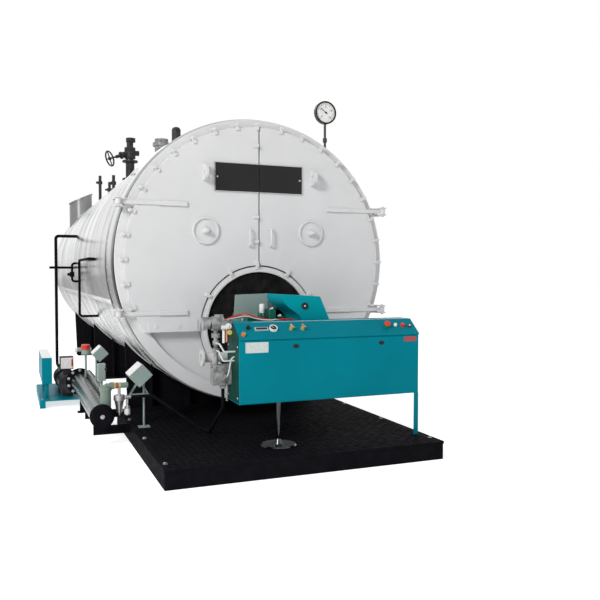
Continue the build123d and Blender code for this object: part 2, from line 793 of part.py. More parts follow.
def strip_controls():
    """Buttons, knobs, gauge and display on the control strip."""
    controls = []
    for x, up, radius, height in (
        (-500, 0.22, 17, 22),
        (-445, 0.62, 14, 26),
        (-235, 0.55, 34, 14),
        (-85, 0.5, 15, 34),
        (15, 0.5, 15, 34),
        (790, 0.5, 24, 30),
        (880, 0.55, 16, 14),
        (945, 0.5, 19, 18),
        (1010, 0.45, 15, 16),
    ):
        controls.append(extrude(strip_place(x, up) * Circle(radius), height))
    controls.append(extrude(strip_place(DISPLAY_X, 0.55) * Rectangle(*DISPLAY), 10))
    return Part() + controls


def cabinet_leg():
    """Angle leg under the right end of the cabinet."""
    x0, x1 = CABINET_X[1] - LEG_W, CABINET_X[1]
    y0 = CABINET_Y[0] + PANEL_T
    leg = bar((x0, x1), (y0, y0 + LEG_W), (PLATFORM_H, CABINET_Z[0]))
    return leg - bar((x0 - 1, x1 - 6), (y0 + 6, y0 + LEG_W + 1), (0, CABINET_Z[0] + 1))


def pedestal():
    """Chromed post with a round foot under the cabinet."""
    foot_top = PLATFORM_H + PEDESTAL_FOOT_T
    r0, r1 = PEDESTAL_POST_R, PEDESTAL_FOOT_R
    cap_r, cap_t = PEDESTAL_CAP
    profile = make_face(
        Polyline(
            (0, PLATFORM_H),
            (r1, PLATFORM_H),
            (r1, PLATFORM_H + 5),
            (r1 - 10, foot_top),
            (r0 + 16, foot_top),
            (r0, foot_top + 40),
            (r0, CABINET_Z[0] - cap_t),
            (cap_r, CABINET_Z[0] - cap_t),
            (cap_r, CABINET_Z[0]),
            (0, CABINET_Z[0]),
            close=True,
        )
    )
    return Pos(PEDESTAL_X, PEDESTAL_Y, 0) * revolve(Plane.XZ * profile, Axis.Z)


# Burner

def burner_housing():
    """Burner body: a low base, and a hood with a curved left edge and a slanted right cheek."""
    y0, y1 = CABINET_Y[1], CABINET_Y[1] + HOUSING_DEPTH
    base = bar(HOUSING_X, (y0, y1), (HOUSING_LOW_Z, STRIP_TOP_Z - 20))
    low = STRIP_TOP_Z - 20
    height = HOUSING_TOP_Z - low
    edge = Spline(
        (HOOD_X + 190, low),
        (HOOD_X + 120, low + 0.36 * height),
        (HOOD_X + 25, low + 0.68 * height),
        (HOOD_X, HOUSING_TOP_Z),
    )
    rest = Polyline(
        (HOOD_X, HOUSING_TOP_Z),
        (HOUSING_X[1] - CHEEK_SLANT, HOUSING_TOP_Z - 20),
        (HOUSING_X[1], low),
        (HOOD_X + 190, low),
    )
    face = door_plane(y1) * make_face([edge, rest])
    return base + extrude(face, HOUSING_DEPTH - 10)


def housing_back_panel():
    """Upright grey panel behind the open part of the burner."""
    y1 = CABINET_Y[1] + HOUSING_DEPTH
    low = STRIP_TOP_Z - 20
    outline = [
        (HOUSING_X[0], low),
        (HOOD_X, low),
        (HOOD_X, HOUSING_TOP_Z),
        (HOUSING_X[0] + 14, HOUSING_TOP_Z - 10),
    ]
    return prism_y(outline, (y1 - BACK_PANEL_T, y1)) - burner_housing()


def burner_internals():
    """Back panel, fan coupling, regulator and terminal blocks in the open part of the burner."""
    low = STRIP_TOP_Z - 20
    y = CABINET_Y[1]
    parts = [
        housing_back_panel(),
        round_z(20, (low, low + 150), HOOD_X - 130, y + 150),
        bar((HOOD_X - 210, HOOD_X - 165), (y + 90, y + 170), (low, low + 60)),
        bar((HOOD_X - 95, HOOD_X - 40), (y + 60, y + 200), (low, low + 105)),
        round_x(26, (HOOD_X - 300, HOOD_X - 230), y + 180, low + 26),
    ]
    return Part() + parts


def burner_throat():
    """Blast tube from the housing into the furnace mouth, with its fixing flange."""
    y1 = CABINET_Y[1] + HOUSING_DEPTH
    outer, inner = THROAT_R, THROAT_R - THROAT_T
    return turned_y(
        [
            (inner, y1),
            (outer + 60, y1),
            (outer + 60, y1 + 12),
            (outer, y1 + 40),
            (outer, MOUTH_Y - 16),
            (outer + 90, MOUTH_Y - 16),
            (outer + 90, MOUTH_Y),
            (outer, MOUTH_Y),
            (outer, DOOR_T + 120),
            (inner, DOOR_T + 120),
        ],
        z=FURNACE_Z,
    )


def burner_inlet():
    """Flanged oil inlet on the left of the burner."""
    pipe = round_x(INLET_R, (INLET_END_X, HOUSING_X[0]), INLET_Y, INLET_Z)
    for x in (INLET_END_X, INLET_END_X + 90):
        pipe += round_x(INLET_FLANGE_R, (x, x + INLET_FLANGE_T), INLET_Y, INLET_Z)
    return pipe - round_x(INLET_R - 10, (INLET_END_X - 1, INLET_END_X + 200), INLET_Y, INLET_Z)


def valve_train():
    """Oil valves and actuators on the left end of the cabinet."""
    x1 = CABINET_X[0]
    y = CABINET_Y[1] - VALVE_DEPTH
    stem_y = y - 10
    box_l, box_w, box_h = SWITCH_BOX
    box_top = ACTUATOR_Z + box_h / 3
    top_box = bar((x1 - box_l, x1), (y - box_w / 2, y + box_w / 2), (box_top - box_h, box_top))
    neck_x, cap_x, end_x = x1 - 150, x1 - 205, x1 - 232
    lobes = round_x(ACTUATOR_R, (neck_x, x1 - box_l), stem_y, ACTUATOR_Z)
    lobes += round_x(ACTUATOR_R - 12, (cap_x, neck_x), stem_y, ACTUATOR_Z + 6)
    lobes += round_x(ACTUATOR_R - 4, (end_x, cap_x), stem_y, ACTUATOR_Z)
    lobes += round_z(ACTUATOR_R - 22, (ACTUATOR_Z, ACTUATOR_Z + 70), x1 - 95, stem_y)
    length, width, height = VALVE_BLOCK
    block_z = (VALVE_BLOCK_Z, VALVE_BLOCK_Z + height)
    middle_z = VALVE_BLOCK_Z + height / 2
    stem = round_z(17, (middle_z, ACTUATOR_Z), x1 - VALVE_STEM_OFF, stem_y)
    for z, ring_r in VALVE_RINGS:
        stem += round_z(ring_r, (z, z + VALVE_RING_H), x1 - VALVE_STEM_OFF, stem_y)
    body = bar((x1 - length, x1), (y - width / 2, y + width / 2), block_z)
    body = fillet(body.edges().filter_by(Axis.X), EDGE_ROUND)
    body += round_y(38, (y - 80, y + 60), x1 - 95, middle_z)
    body += round_z(26, (VALVE_INLET_Z, VALVE_BLOCK_Z), x1 - VALVE_INLET_OFF, y)
    body += round_z(DRAIN_R, (CABINET_Z[0], VALVE_BLOCK_Z), x1 - 35, y - 30)
    return top_box + lobes + stem + body


def burner_conduits():
    """Bent oil lines from the rings of the valve stem to the end of the cabinet."""
    x, y = CABINET_X[0] - VALVE_STEM_OFF, CABINET_Y[1] - VALVE_DEPTH - 10
    lines = []
    for (z, ring_r), out, drop in zip(VALVE_RINGS[1:], (110, 85), (60, 75)):
        middle = z + VALVE_RING_H / 2
        points = [
            (x, y - ring_r, middle),
            (x, y - out, middle),
            (x + 30, y - out - 25, middle - drop),
            (CABINET_X[0], y - out - 25, middle - drop),
        ]
        lines.append(bent_pipe(points, CONDUIT_R, 2 * CONDUIT_R))
    return Part() + lines


def fuel_pipe():
    """Black oil pipe from the strainer down to the platform and up to the valve train."""
    low = PLATFORM_H + FUEL_PIPE_R + SEAT_GAP
    foot_x, foot_y = CABINET_X[0] - VALVE_INLET_OFF, CABINET_Y[1] - VALVE_DEPTH
    start = STRAINER_X + STRAINER_OUTLET
    points = [
        (start, OUTLET_Y, STRAINER_Z),
        (start + FUEL_PIPE_RUN, OUTLET_Y, STRAINER_Z),
        (foot_x - 40, OUTLET_Y - FUEL_PIPE_BENDS[0], low),
        (foot_x, OUTLET_Y - FUEL_PIPE_BENDS[1], low),
        (foot_x, foot_y, VALVE_INLET_Z - 160),
        (foot_x, foot_y, VALVE_INLET_Z),
    ]
    return bent_pipe(points, FUEL_PIPE_R, 3 * FUEL_PIPE_R)


# Oil preheater and pumps

def preheater_vessel():
    """Polished preheater with a slim return tube on its upper flank."""
    vessel = round_y(PREHEATER_R, PREHEATER_Y, PREHEATER_X, PREHEATER_Z)
    side_y = (PREHEATER_Y[0] + SIDE_TUBE_START, PREHEATER_Y[1])
    return vessel + round_y(SIDE_TUBE_R, side_y, SIDE_TUBE_X, SIDE_TUBE_Z)


def preheater_flanges():
    """Black front cap and rear flange of the preheater."""
    y0, y1 = PREHEATER_Y
    cap_r = PREHEATER_R + 6
    front = y0 - PREHEATER_CAP_T
    profile = [(0, y0), (cap_r, y0), (cap_r, front + 14), (cap_r - 22, front), (0, front)]
    cap = turned_y(profile, PREHEATER_X, PREHEATER_Z)
    rear = round_y(PREHEATER_FLANGE_R, (y1, y1 + 30), PREHEATER_X, PREHEATER_Z)
    rear += round_y(PREHEATER_R + 20, (y1 + 30, y1 + 90), PREHEATER_X, PREHEATER_Z)
    return Part() + [cap, rear]


def preheater_feet():
    """Cradle arms from the platform's side, and a foot on the floor under the preheater's back."""
    vessel = round_y(PREHEATER_R, PREHEATER_Y, PREHEATER_X, PREHEATER_Z)
    cradle_x = (PREHEATER_X - CRADLE_HALF, PREHEATER_X + CRADLE_HALF)
    feet = []
    for y in PREHEATER_ARMS_Y:
        arm_y = (y - SKIRT_T / 2, y + SKIRT_T / 2)
        arm = bar((cradle_x[0], PLATFORM_X[0]), arm_y, PREHEATER_ARM_Z)
        feet.append(arm + bar(cradle_x, arm_y, (PREHEATER_ARM_Z[1], PREHEATER_Z)) - vessel)
    y, half = PREHEATER_FOOT_Y, PREHEATER_FOOT_HALF
    foot = bar((PREHEATER_X - half / 2, PREHEATER_X + half / 2), (y - half / 2, y + half / 2), (0, PREHEATER_Z))
    foot += bar((PREHEATER_X - half, PREHEATER_X + half), (y - half, y + half), (0, SKIRT_T))
    feet.append(foot - vessel)
    return Part() + feet


def preheater_outlet():
    """Lagged outlet riser with a cross pipe to the instruments."""
    vessel = round_y(PREHEATER_R, PREHEATER_Y, PREHEATER_X, PREHEATER_Z)
    x, y, z = PREHEATER_X + 40, OUTLET_Y, OUTLET_Z
    pipe = round_z(OUTLET_R, (PREHEATER_Z, z - 20), x, y)
    pipe += round_z(OUTLET_R + 6, (z - 40, z - 10), x, y)
    pipe += Pos(x, y, z - 10) * Sphere(28)
    pipe += round_x(CROSS_PIPE_R, (x, OUTLET_END_X), y, z)
    pipe += round_x(CROSS_PIPE_R + 7, (x + 35, x + 70), y, z)
    return pipe - vessel


def oil_strainer():
    """Strainer hanging from the cross pipe, with a small regulator on its outlet."""
    x, y, z = STRAINER_X, OUTLET_Y, STRAINER_Z
    bowl = Pos(x, y, z - 77) * Cone(22, 42, 110)
    bowl += round_z(48, (z - 22, z + 23), x, y)
    bowl += round_z(13, (z + 23, OUTLET_Z), x, y)
    bowl += round_z(9, (z - 155, z - 132), x, y)
    outlet = round_x(FUEL_PIPE_R + 4, (x, x + STRAINER_OUTLET), y, z)
    outlet += round_z(12, (z - 82, z), x + 70, y)
    outlet += round_z(24, (z - 157, z - 82), x + 70, y)
    return bowl + outlet - round_x(CROSS_PIPE_R, (PREHEATER_X, OUTLET_END_X), y, OUTLET_Z)


def tilted_box(size, centre):
    """Instrument box turned on a line along Y, with rounded long edges."""
    box = fillet(Box(*size).edges().filter_by(Axis.Y), CABINET_ROUND)
    return Pos(*centre) * Rot(Y=GEAR_TILT) * box


def gear_stand():
    """Tilted box on a V bracket, held by a thin post on the platform."""
    x, y = GEAR_POST_X, GEAR_Y
    middle, (low, top) = GEAR_BOX_AT[0], BRACKET_Z
    foot_x, foot_y, foot_t = GEAR_POST_FOOT
    stand = round_z(GEAR_POST_R, (PLATFORM_H, GEAR_BOX_AT[1]), x, y)
    stand += bar((x - foot_x, x + foot_x), (y - foot_y, y + foot_y), (PLATFORM_H, PLATFORM_H + foot_t))
    outline = [(middle - BRACKET_HALF, low), (middle + BRACKET_HALF, low), (middle, top)]
    bracket = make_face(Polyline(outline, close=True))
    bracket -= offset(bracket, -2 * foot_t)
    stand += extrude(door_plane(y + foot_t / 2) * bracket, foot_t)
    return stand + tilted_box(GEAR_BOX, (middle, y, GEAR_BOX_AT[1]))


def preheater_instruments():
    """Pressure switch and valve actuator on top of the preheater."""
    vessel = round_y(PREHEATER_R, PREHEATER_Y, PREHEATER_X, PREHEATER_Z)
    x, top = PREHEATER_X + 40, OUTLET_Z + 6
    length, depth, height = OIL_SWITCH
    switch_y = (OIL_SWITCH_Y - depth / 2, OIL_SWITCH_Y + depth / 2)
    switch = bar((x - length / 2, x + length / 2), switch_y, (top, top + height))
    switch = fillet(switch.edges().filter_by(Axis.Z), CABINET_ROUND)
    switch += round_z(STEM_R, (PREHEATER_Z, top), x, OIL_SWITCH_Y)
    low, high = OIL_ACTUATOR_Z
    actuator = round_z(OIL_ACTUATOR_R, OIL_ACTUATOR_Z, x, ACTUATOR_Y)
    actuator += round_x(OIL_ACTUATOR_R / 2, (x - 90, x + 60), ACTUATOR_Y, (low + high) / 2)
    actuator += round_z(STEM_R, (PREHEATER_Z, low), x, ACTUATOR_Y)
    return [switch - vessel, actuator - vessel]


def instrument_boxes():
    """Instruments of the oil gear: two tilted boxes on posts, a switch and an actuator."""
    x, z = REAR_BOX_AT
    rear = tilted_box(REAR_BOX, (x, REAR_BOX_Y, z))
    rear += round_z(GEAR_POST_R, (SIDE_TUBE_Z, z), SIDE_TUBE_X, REAR_BOX_Y)
    return Part() + [gear_stand(), rear - preheater_vessel()] + preheater_instruments()


def pump_skid():
    """Channel skid under the pumps."""
    skid = bar(SKID_X, SKID_Y, (0, SKID_H))
    inner = (SKID_X[0] + 60, SKID_X[1] - 60)
    return skid - bar(inner, (SKID_Y[0] - 1, SKID_Y[1] + 1), (-1, SKID_H - 12))


def feed_pump():
    """Feed pump with its motor in front, on feet on the skid."""
    x, y, z = PUMP_X, SKID_Y[0], SKID_H + PUMP_RISE
    y0, y1 = y + PUMP_Y[0], y + PUMP_Y[1]
    pump = round_y(PUMP_R, (y0, y1), x, z)
    pump += round_y(PUMP_R - 35, (y1, y1 + PUMP_NOSE), x, z)
    pump += bar((x - 70, x + 70), (y0 + 40, y1 - 40), (SKID_H, z - 60))
    motor = round_y(MOTOR_R, (y + MOTOR_Y, y0), x, z)
    motor += bar((x - 60, x + 60), (y + MOTOR_Y + 80, y0 - 80), (SKID_H, z))
    wide, long, high = DRIVE_BOX
    box_y, box_z = (y + MOTOR_Y + 140, y + MOTOR_Y + 140 + long), z + MOTOR_R + 60
    motor += bar((x - wide / 4, x + wide / 4), (box_y[0] + 20, box_y[1] - 20), (z, box_z))
    motor += bar((x - wide / 2, x + wide / 2), box_y, (box_z, box_z + high))
    return pump + motor


def pump_terminal_box():
    """Long terminal box on posts at the outer side of the pump skid."""
    wide, long, high = TERMINAL_BOX
    x0, y0, z0 = SKID_X[0] + 30, SKID_Y[0] + 150, SKID_H + TERMINAL_RISE
    box = bar((x0, x0 + wide), (y0, y0 + long), (z0, z0 + high))
    box = fillet(box.edges().filter_by(Axis.Y), 8)
    for y in (y0 + 60, y0 + long - 60):
        box += bar((x0 + 35, x0 + 75), (y - 20, y + 20), (SKID_H, z0))
    return box


# Side pipes

def tall_pipe():
    """Black feed pipe from the pump up to the drum's side, with a stay halfway."""
    inner = -CASING_R + DRUM_REACH
    foot = SKID_H + PUMP_RISE
    points = [
        (inner, TALL_PIPE_Y, TALL_PIPE_TOP),
        (PUMP_X, TALL_PIPE_Y, TALL_PIPE_TOP),
        (PUMP_X, TALL_PIPE_Y, foot),
        (PUMP_X, SKID_Y[0] + PUMP_Y[1] + PUMP_NOSE, foot),
    ]
    pipe = bent_pipe(points, SIDE_PIPE_R, 2 * SIDE_PIPE_R)
    stay = round_x(SIDE_PIPE_R - 4, (PUMP_X - 90, inner), TALL_PIPE_Y, STAY_Z)
    return pipe + stay - drum_space()


def side_pipes():
    """Slim black pipe along the casing, and a short one behind it with an angle valve."""
    r, bend = THIN_PIPE_R, 2.5 * THIN_PIPE_R
    x, inner = -CASING_R - THIN_PIPE_STAND, -CASING_R + DRUM_REACH
    y0, y1 = THIN_PIPE_Y
    low, top = THIN_PIPE_Z
    long_pipe = bent_pipe([(x, y0, top), (x, y1, top), (x, y1, low), (inner, y1, low)], r, bend)
    long_pipe += round_x(r, (x, inner), y0 + 40, top)
    y = ANGLE_PIPE_Y
    low, top = ANGLE_PIPE_Z
    angle_pipe = bent_pipe([(inner, y, top), (x, y, top), (x, y, low), (inner, y, low)], r, bend)
    angle_pipe += round_z(2 * r, (low + 60, low + 130), x, y)
    angle_pipe += round_x(r + 4, (x - 60, x), y, low + 95)
    return Part() + [long_pipe - drum_space(), angle_pipe - drum_space()]


# Crown fittings

def crown_nozzle():
    """Short bright neck on the crown with a blank flange."""
    neck = round_z(NOZZLE_R, (casing_height(0) - 60, NOZZLE_TOP), 0, NOZZLE_Y)
    neck += round_z(NOZZLE_R + 30, (NOZZLE_TOP - 110, NOZZLE_TOP - 60), 0, NOZZLE_Y)
    return neck - drum_space()


def vent_neck():
    """Vent neck with a rounded cap."""
    neck = round_z(VENT_R - 16, (casing_height(0) - 60, VENT_TOP - 120), 0, VENT_Y)
    cap = round_z(VENT_R, (VENT_TOP - 200, VENT_TOP), 0, VENT_Y)
    cap = fillet(cap.edges().group_by(Axis.Z)[-1], VENT_R - 12)
    return neck + cap - drum_space()


def on_spindle(shape):
    """Place a shape made round the X axis on the stop valve's sloping spindle."""
    return Pos(VALVE_X, VALVE_Y, SPINDLE_Z) * Rot(Z=SPINDLE_TURN) * Rot(Y=-SPINDLE_DIP) * shape


def steam_valve():
    """Main steam stop valve with a sloping bonnet and an outlet on the far side."""
    x, y = VALVE_X, VALVE_Y
    low = casing_height(abs(x)) - 120
    body = round_z(VALVE_R - 18, (low, SPINDLE_Z), x, y)
    for z in (low + 190, SPINDLE_Z - 150):
        body += round_z(VALVE_R + 35, (z, z + 26), x, y)
    body += round_z(VALVE_R, (SPINDLE_Z - 90, SPINDLE_Z + 80), x, y)
    body += round_z(VALVE_R - 34, (SPINDLE_Z + 80, VALVE_TOP - 30), x, y)
    body += round_z(VALVE_R - 12, (VALVE_TOP - 60, VALVE_TOP), x + 12, y)
    body += round_x(40, (x, x + 140), y, SPINDLE_Z)
    bonnet = round_x(46, (-150, 0), 0, 0) + round_x(58, (-170, -150), 0, 0)
    bonnet += round_x(26, (-250, -170), 0, 0)
    body += on_spindle(bonnet)
    body -= on_spindle(round_x(SPINDLE_R + PIN_CLEARANCE, (-260, -120), 0, 0))
    return body - drum_space()


def steam_valve_wheel():
    """Handwheel and spindle of the stop valve."""
    x = -WHEEL_OFF
    wheel = Pos(x, 0, 0) * Rot(Y=90) * Torus(WHEEL_R, 12)
    wheel += round_x(26, (x - 14, x + 14), 0, 0)
    wheel += bar((x - 6, x + 6), (-WHEEL_R, WHEEL_R), (-8, 8))
    wheel += bar((x - 6, x + 6), (-8, 8), (-WHEEL_R, WHEEL_R))
    return on_spindle(wheel + round_x(SPINDLE_R, (x - 24, -122), 0, 0))


def small_valves():
    """The vent on the crown, and the gauge cocks and small valves on its left."""
    parts = [vent_neck()]
    for y, stand, r in ((6950, 470, 26), (5650, 200, 22), (5150, 250, 24)):
        x = SMALL_VALVE_X
        low = casing_height(abs(x)) - 80
        top = low + 80 + stand
        valve = round_z(r, (low, top), x, y)
        valve += round_z(r + 16, (top - 150, top - 100), x, y)
        valve += round_x(r - 6, (x - 70, x), y, top - 125)
        parts.append(valve - drum_space())
    return Part() + parts


def below_mitre(drop):
    """The room below the mitred end of the flue, lowered by a given amount."""
    low, high = FLUE_TOP[0] - drop, FLUE_TOP[1] - drop
    spread = (high - low) / 2
    outline = [(-2 * FLUE_R, 0), (2 * FLUE_R, 0), (2 * FLUE_R, high + spread), (-2 * FLUE_R, low - spread)]
    placed = [(FLUE_X + x, max(z, AXIS_Z)) for x, z in outline]
    return prism_y(placed, (FLUE_Y - 2 * FLUE_R, FLUE_Y + 2 * FLUE_R))


def flue_stub():
    """Open flue outlet near the back of the drum, mitred for the next length of duct."""
    rim_t, rim_h = FLUE_RIM
    stub_z = (AXIS_Z, 2 * FLUE_TOP[1] - AXIS_Z)
    stub = round_z(FLUE_R, stub_z, FLUE_X, FLUE_Y) & below_mitre(0)
    stub += (round_z(FLUE_R + rim_t, stub_z, FLUE_X, FLUE_Y) & below_mitre(0)) - below_mitre(rim_h)
    stub -= round_z(FLUE_R - FLUE_T, (AXIS_Z - 1, stub_z[1] + 1), FLUE_X, FLUE_Y)
    return (stub - drum_space()).solids().sort_by(Axis.Z)[-1]


def gauge_siphon():
    """Stem and siphon coil of the pressure gauge, on the first casing band."""
    low = casing_height(GAUGE_X) - 60
    stem = round_z(STEM_R, (low, GAUGE_Z - GAUGE_R), GAUGE_X, GAUGE_Y)
    stem += round_z(STEM_R + 9, (low + 150, low + 190), GAUGE_X, GAUGE_Y)
    return stem - drum_space()


def pressure_gauge():
    """Dial gauge with a deep rim and a set-back face."""
    y0, y1 = GAUGE_Y - GAUGE_T / 2, GAUGE_Y + GAUGE_T / 2
    rim = GAUGE_R - 12
    profile = [(0, y0 + 12), (rim, y0 + 12), (rim, y0), (GAUGE_R - 3, y0), (GAUGE_R, y0 + 4)]
    profile += [(GAUGE_R, y1 - 12), (GAUGE_R - 20, y1), (0, y1)]
    return turned_y(profile, GAUGE_X, GAUGE_Z)


def casing_latches():
    """Toggle latches across the bead, high on each side."""
    latches = []
    for angle in (-52, 52):
        z = AXIS_Z + CASING_R
        top = z + BEAD_STAND
        latch = bar((-22, 22), (BAND_END_Y - 70, BAND_END_Y + BEAD_W + 60), (top, top + 14))
        latch += bar((-26, 26), (BAND_END_Y - 100, BAND_END_Y - 60), (z - 2, top + 20))
        latch += bar((-26, 26), (BAND_END_Y + BEAD_W + 50, BAND_END_Y + BEAD_W + 90), (z - 2, top + 20))
        latches.append(at_clock(latch, angle) - drum_space())
    return Part() + latches


# Assembly
NODES = {
    "front_flange": front_flange(),
    "front_casing_band": front_casing_band(),
    "casing_bead": casing_bead(),
    "casing_latches": casing_latches(),
    "front_tube_plate": front_tube_plate(),
    "furnace_neck": furnace_neck(),
    "rear_head": rear_head(),
    "rear_inspection_cover": rear_inspection_cover(),
    "door_frame": Part() + [centre_post(), transom_rails()],
    "lower_front_plate": lower_front_plate(),
    "hinge_brackets": Part() + [hinge_brackets(1), hinge_brackets(-1)],
    "burner_ring": burner_ring(),
    "burner_plate": burner_plate(),
    "platform_deck": platform_deck(),
    "platform_frame": platform_frame(),
    "saddles": Part() + [saddle(y) for y in SADDLE_Y],
    "cabinet_body": cabinet_body(),
    "control_strip": control_strip(),
    "strip_controls": strip_controls(),
    "cabinet_leg": cabinet_leg(),
    "pedestal": pedestal(),
    "burner_housing": burner_housing(),
    "burner_internals": burner_internals(),
    "burner_throat": burner_throat(),
    "burner_inlet": burner_inlet(),
    "burner_conduits": burner_conduits(),
    "valve_train": valve_train(),
    "fuel_pipe": fuel_pipe(),
    "preheater_vessel": preheater_vessel(),
    "preheater_flanges": preheater_flanges(),
    "preheater_feet": preheater_feet(),
    "preheater_outlet": preheater_outlet(),
    "oil_strainer": oil_strainer(),
    "instrument_boxes": instrument_boxes(),
    "pump_skid": pump_skid(),
    "feed_pump": feed_pump(),
    "pump_terminal_box": pump_terminal_box(),
    "tall_pipe": tall_pipe(),
    "side_pipes": side_pipes(),
    "crown_nozzle": crown_nozzle(),
    "steam_valve": steam_valve(),
    "steam_valve_wheel": steam_valve_wheel(),
    "small_valves": small_valves(),
    "flue_stub": flue_stub(),
    "pressure_gauge": pressure_gauge() + gauge_siphon(),
}

course_start = BAND_END_Y + BEAD_W
course_length = (DRUM_END_Y - course_start) / COURSE_COUNT
courses = [
    casing_course(course_start + k * course_length, course_start + (k + 1) * course_length)
    for k in range(COURSE_COUNT)
]
NODES["casing_courses"] = Part() + courses
for name, side in (("left", -1), ("right", 1)):
    NODES[f"{name}_door"] = door_leaf(side)
    NODES[f"{name}_door_lining"] = door_lining(side)
    NODES[f"{name}_hinge_straps"] = hinge_straps(side)
    NODES[f"{name}_door_clamps"] = door_clamps(side)
    NODES[f"{name}_door_handles"] = Part() + [door_handle(side), lifting_eye(side)]
    NODES[f"{name}_inspection_cover"] = inspection_cover(side)
    NODES[f"{name}_name_plate"] = name_plate(side)

os.makedirs("parts", exist_ok=True)
for name, shape in NODES.items():
    export_step(shape, f"parts/{name}.step")
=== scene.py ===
import json
from math import cos, pi, radians, sin

import bmesh
import bpy
from bpy.props import FloatProperty, FloatVectorProperty, IntProperty, PointerProperty
from mathutils import Matrix, Vector


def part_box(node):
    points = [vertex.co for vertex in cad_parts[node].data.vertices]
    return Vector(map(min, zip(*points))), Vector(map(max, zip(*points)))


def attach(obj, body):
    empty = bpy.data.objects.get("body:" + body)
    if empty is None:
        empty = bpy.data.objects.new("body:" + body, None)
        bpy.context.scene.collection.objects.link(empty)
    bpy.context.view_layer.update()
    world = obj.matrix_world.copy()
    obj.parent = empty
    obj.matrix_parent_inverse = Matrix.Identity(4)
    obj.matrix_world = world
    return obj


bl_info = {
    "name": "Fire-tube boiler dressing",
    "version": (1, 0, 0),
    "blender": (4, 5, 0),
    "location": "View3D > Sidebar > Boiler",
    "description": "Finishes, fastenings and small fittings of a horizontal fire-tube boiler, and its stage",
    "category": "Object",
}

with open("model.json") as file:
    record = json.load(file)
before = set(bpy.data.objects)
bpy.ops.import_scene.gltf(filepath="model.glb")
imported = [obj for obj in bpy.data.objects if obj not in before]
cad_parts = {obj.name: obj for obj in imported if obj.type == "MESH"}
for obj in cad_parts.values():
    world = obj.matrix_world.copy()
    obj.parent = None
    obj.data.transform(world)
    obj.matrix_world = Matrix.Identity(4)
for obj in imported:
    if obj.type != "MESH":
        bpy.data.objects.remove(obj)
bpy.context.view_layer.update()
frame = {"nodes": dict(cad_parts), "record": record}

# Places taken from the frame
DRUM_LOW, DRUM_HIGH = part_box("casing_courses")
AXIS_Z = (DRUM_LOW[2] + DRUM_HIGH[2]) / 2
BAND_LOW, BAND_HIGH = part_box("front_casing_band")
CASING_R = BAND_HIGH[0]
CABINET_LOW, CABINET_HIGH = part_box("cabinet_body")
STRIP_LOW, STRIP_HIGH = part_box("control_strip")
HOUSING_LOW, HOUSING_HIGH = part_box("burner_housing")
DECK_LOW, DECK_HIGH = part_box("platform_deck")
CONTROLS_LOW, CONTROLS_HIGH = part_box("strip_controls")
VESSEL_LOW, VESSEL_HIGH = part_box("preheater_vessel")
GAUGE_LOW, GAUGE_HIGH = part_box("pressure_gauge")
GAUGE_R = (GAUGE_HIGH[0] - GAUGE_LOW[0]) / 2
GAUGE_AT = Vector(((GAUGE_LOW[0] + GAUGE_HIGH[0]) / 2, GAUGE_LOW[1], GAUGE_HIGH[2] - GAUGE_R))

# Sizes and places that the boxes alone don't give
VALVE_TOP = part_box("steam_valve")[1][2]
VALVE_AT = (-0.4, 5.1)
VALVE_FLANGES_Z = (VALVE_TOP - 0.635, VALVE_TOP - 0.354)
VALVE_BOLTS_R = 0.1
FLANGE_BOLTS = 8
STRIP_CREST_Y = STRIP_LOW[1] + 0.15
END_PLATE = 0.0015
BURNER_FLOOR_Z = STRIP_HIGH[2] - 0.02
VESSEL_R = 0.097
VESSEL_BOLTS_R = 0.128
CASING_COURSES = 4
SEAM_INSET = 0.035
SEAM_HALF = 0.02
REAR_HEAD_BOLTS = 36
JOINT_ANGLE = radians(107)
JOINT_RIVET_PITCH = 0.1
SADDLE_ANGLES = (radians(126), radians(234))
TUBE_PITCH = 0.21
TUBE_BORE_R = 0.032
TUBE_PROUD = 0.014

# Pressure gauge: its scale's start and sweep, its pointer, and how its marks are numbered
SCALE_START, SCALE_SWEEP = radians(-135), radians(270)
POINTER_ANGLE = radians(-52)
MARKS_TO_NUMBER = 10
NUMBER_STEP = 4

# Tilted instrument boxes: centre, and width, depth and height
TILT = radians(48)
TILTED_BOXES = (
    ((-1.118, 0.06, 0.629), (0.135, 0.24, 0.158)),
    ((-1.33, 1.2, 0.705), (0.105, 0.2, 0.125)),
)
DRIVE_PLATE = ((-1.637, 2.377, 0.408), (-1.503, 2.38, 0.537))

# The photograph's view
CAMERA_AT = (-2.16520, -6.26669, 1.52921)
CAMERA_YAW = radians(22.3836)
CAMERA_PITCH = radians(-2.1374)
CAMERA_ROLL = radians(0.1269)
CAMERA_LENS = 42.09

SMOOTH_LIMIT = radians(35)

# Finishes by their slot or plain name, filled by make_finishes
FINISHES = {}


class BoilerPaint(bpy.types.PropertyGroup):
    """Colours and gloss of the boiler's finishes."""

    front: FloatVectorProperty(
        name="Front", description="Grey enamel of the smokebox front",
        subtype="COLOR", min=0, max=1, default=(0.66, 0.66, 0.665),
    )
    teal: FloatVectorProperty(
        name="Burner", description="Enamel of the burner and its cabinet",
        subtype="COLOR", min=0, max=1, default=(0.0, 0.2, 0.262),
    )
    black: FloatVectorProperty(
        name="Base", description="Paint of the platform, saddles and pipes",
        subtype="COLOR", min=0, max=1, default=(0.007, 0.0066, 0.0085),
    )
    polished: FloatVectorProperty(
        name="Casing", description="Polished sheet of the casing",
        subtype="COLOR", min=0, max=1, default=(0.62, 0.625, 0.63),
    )


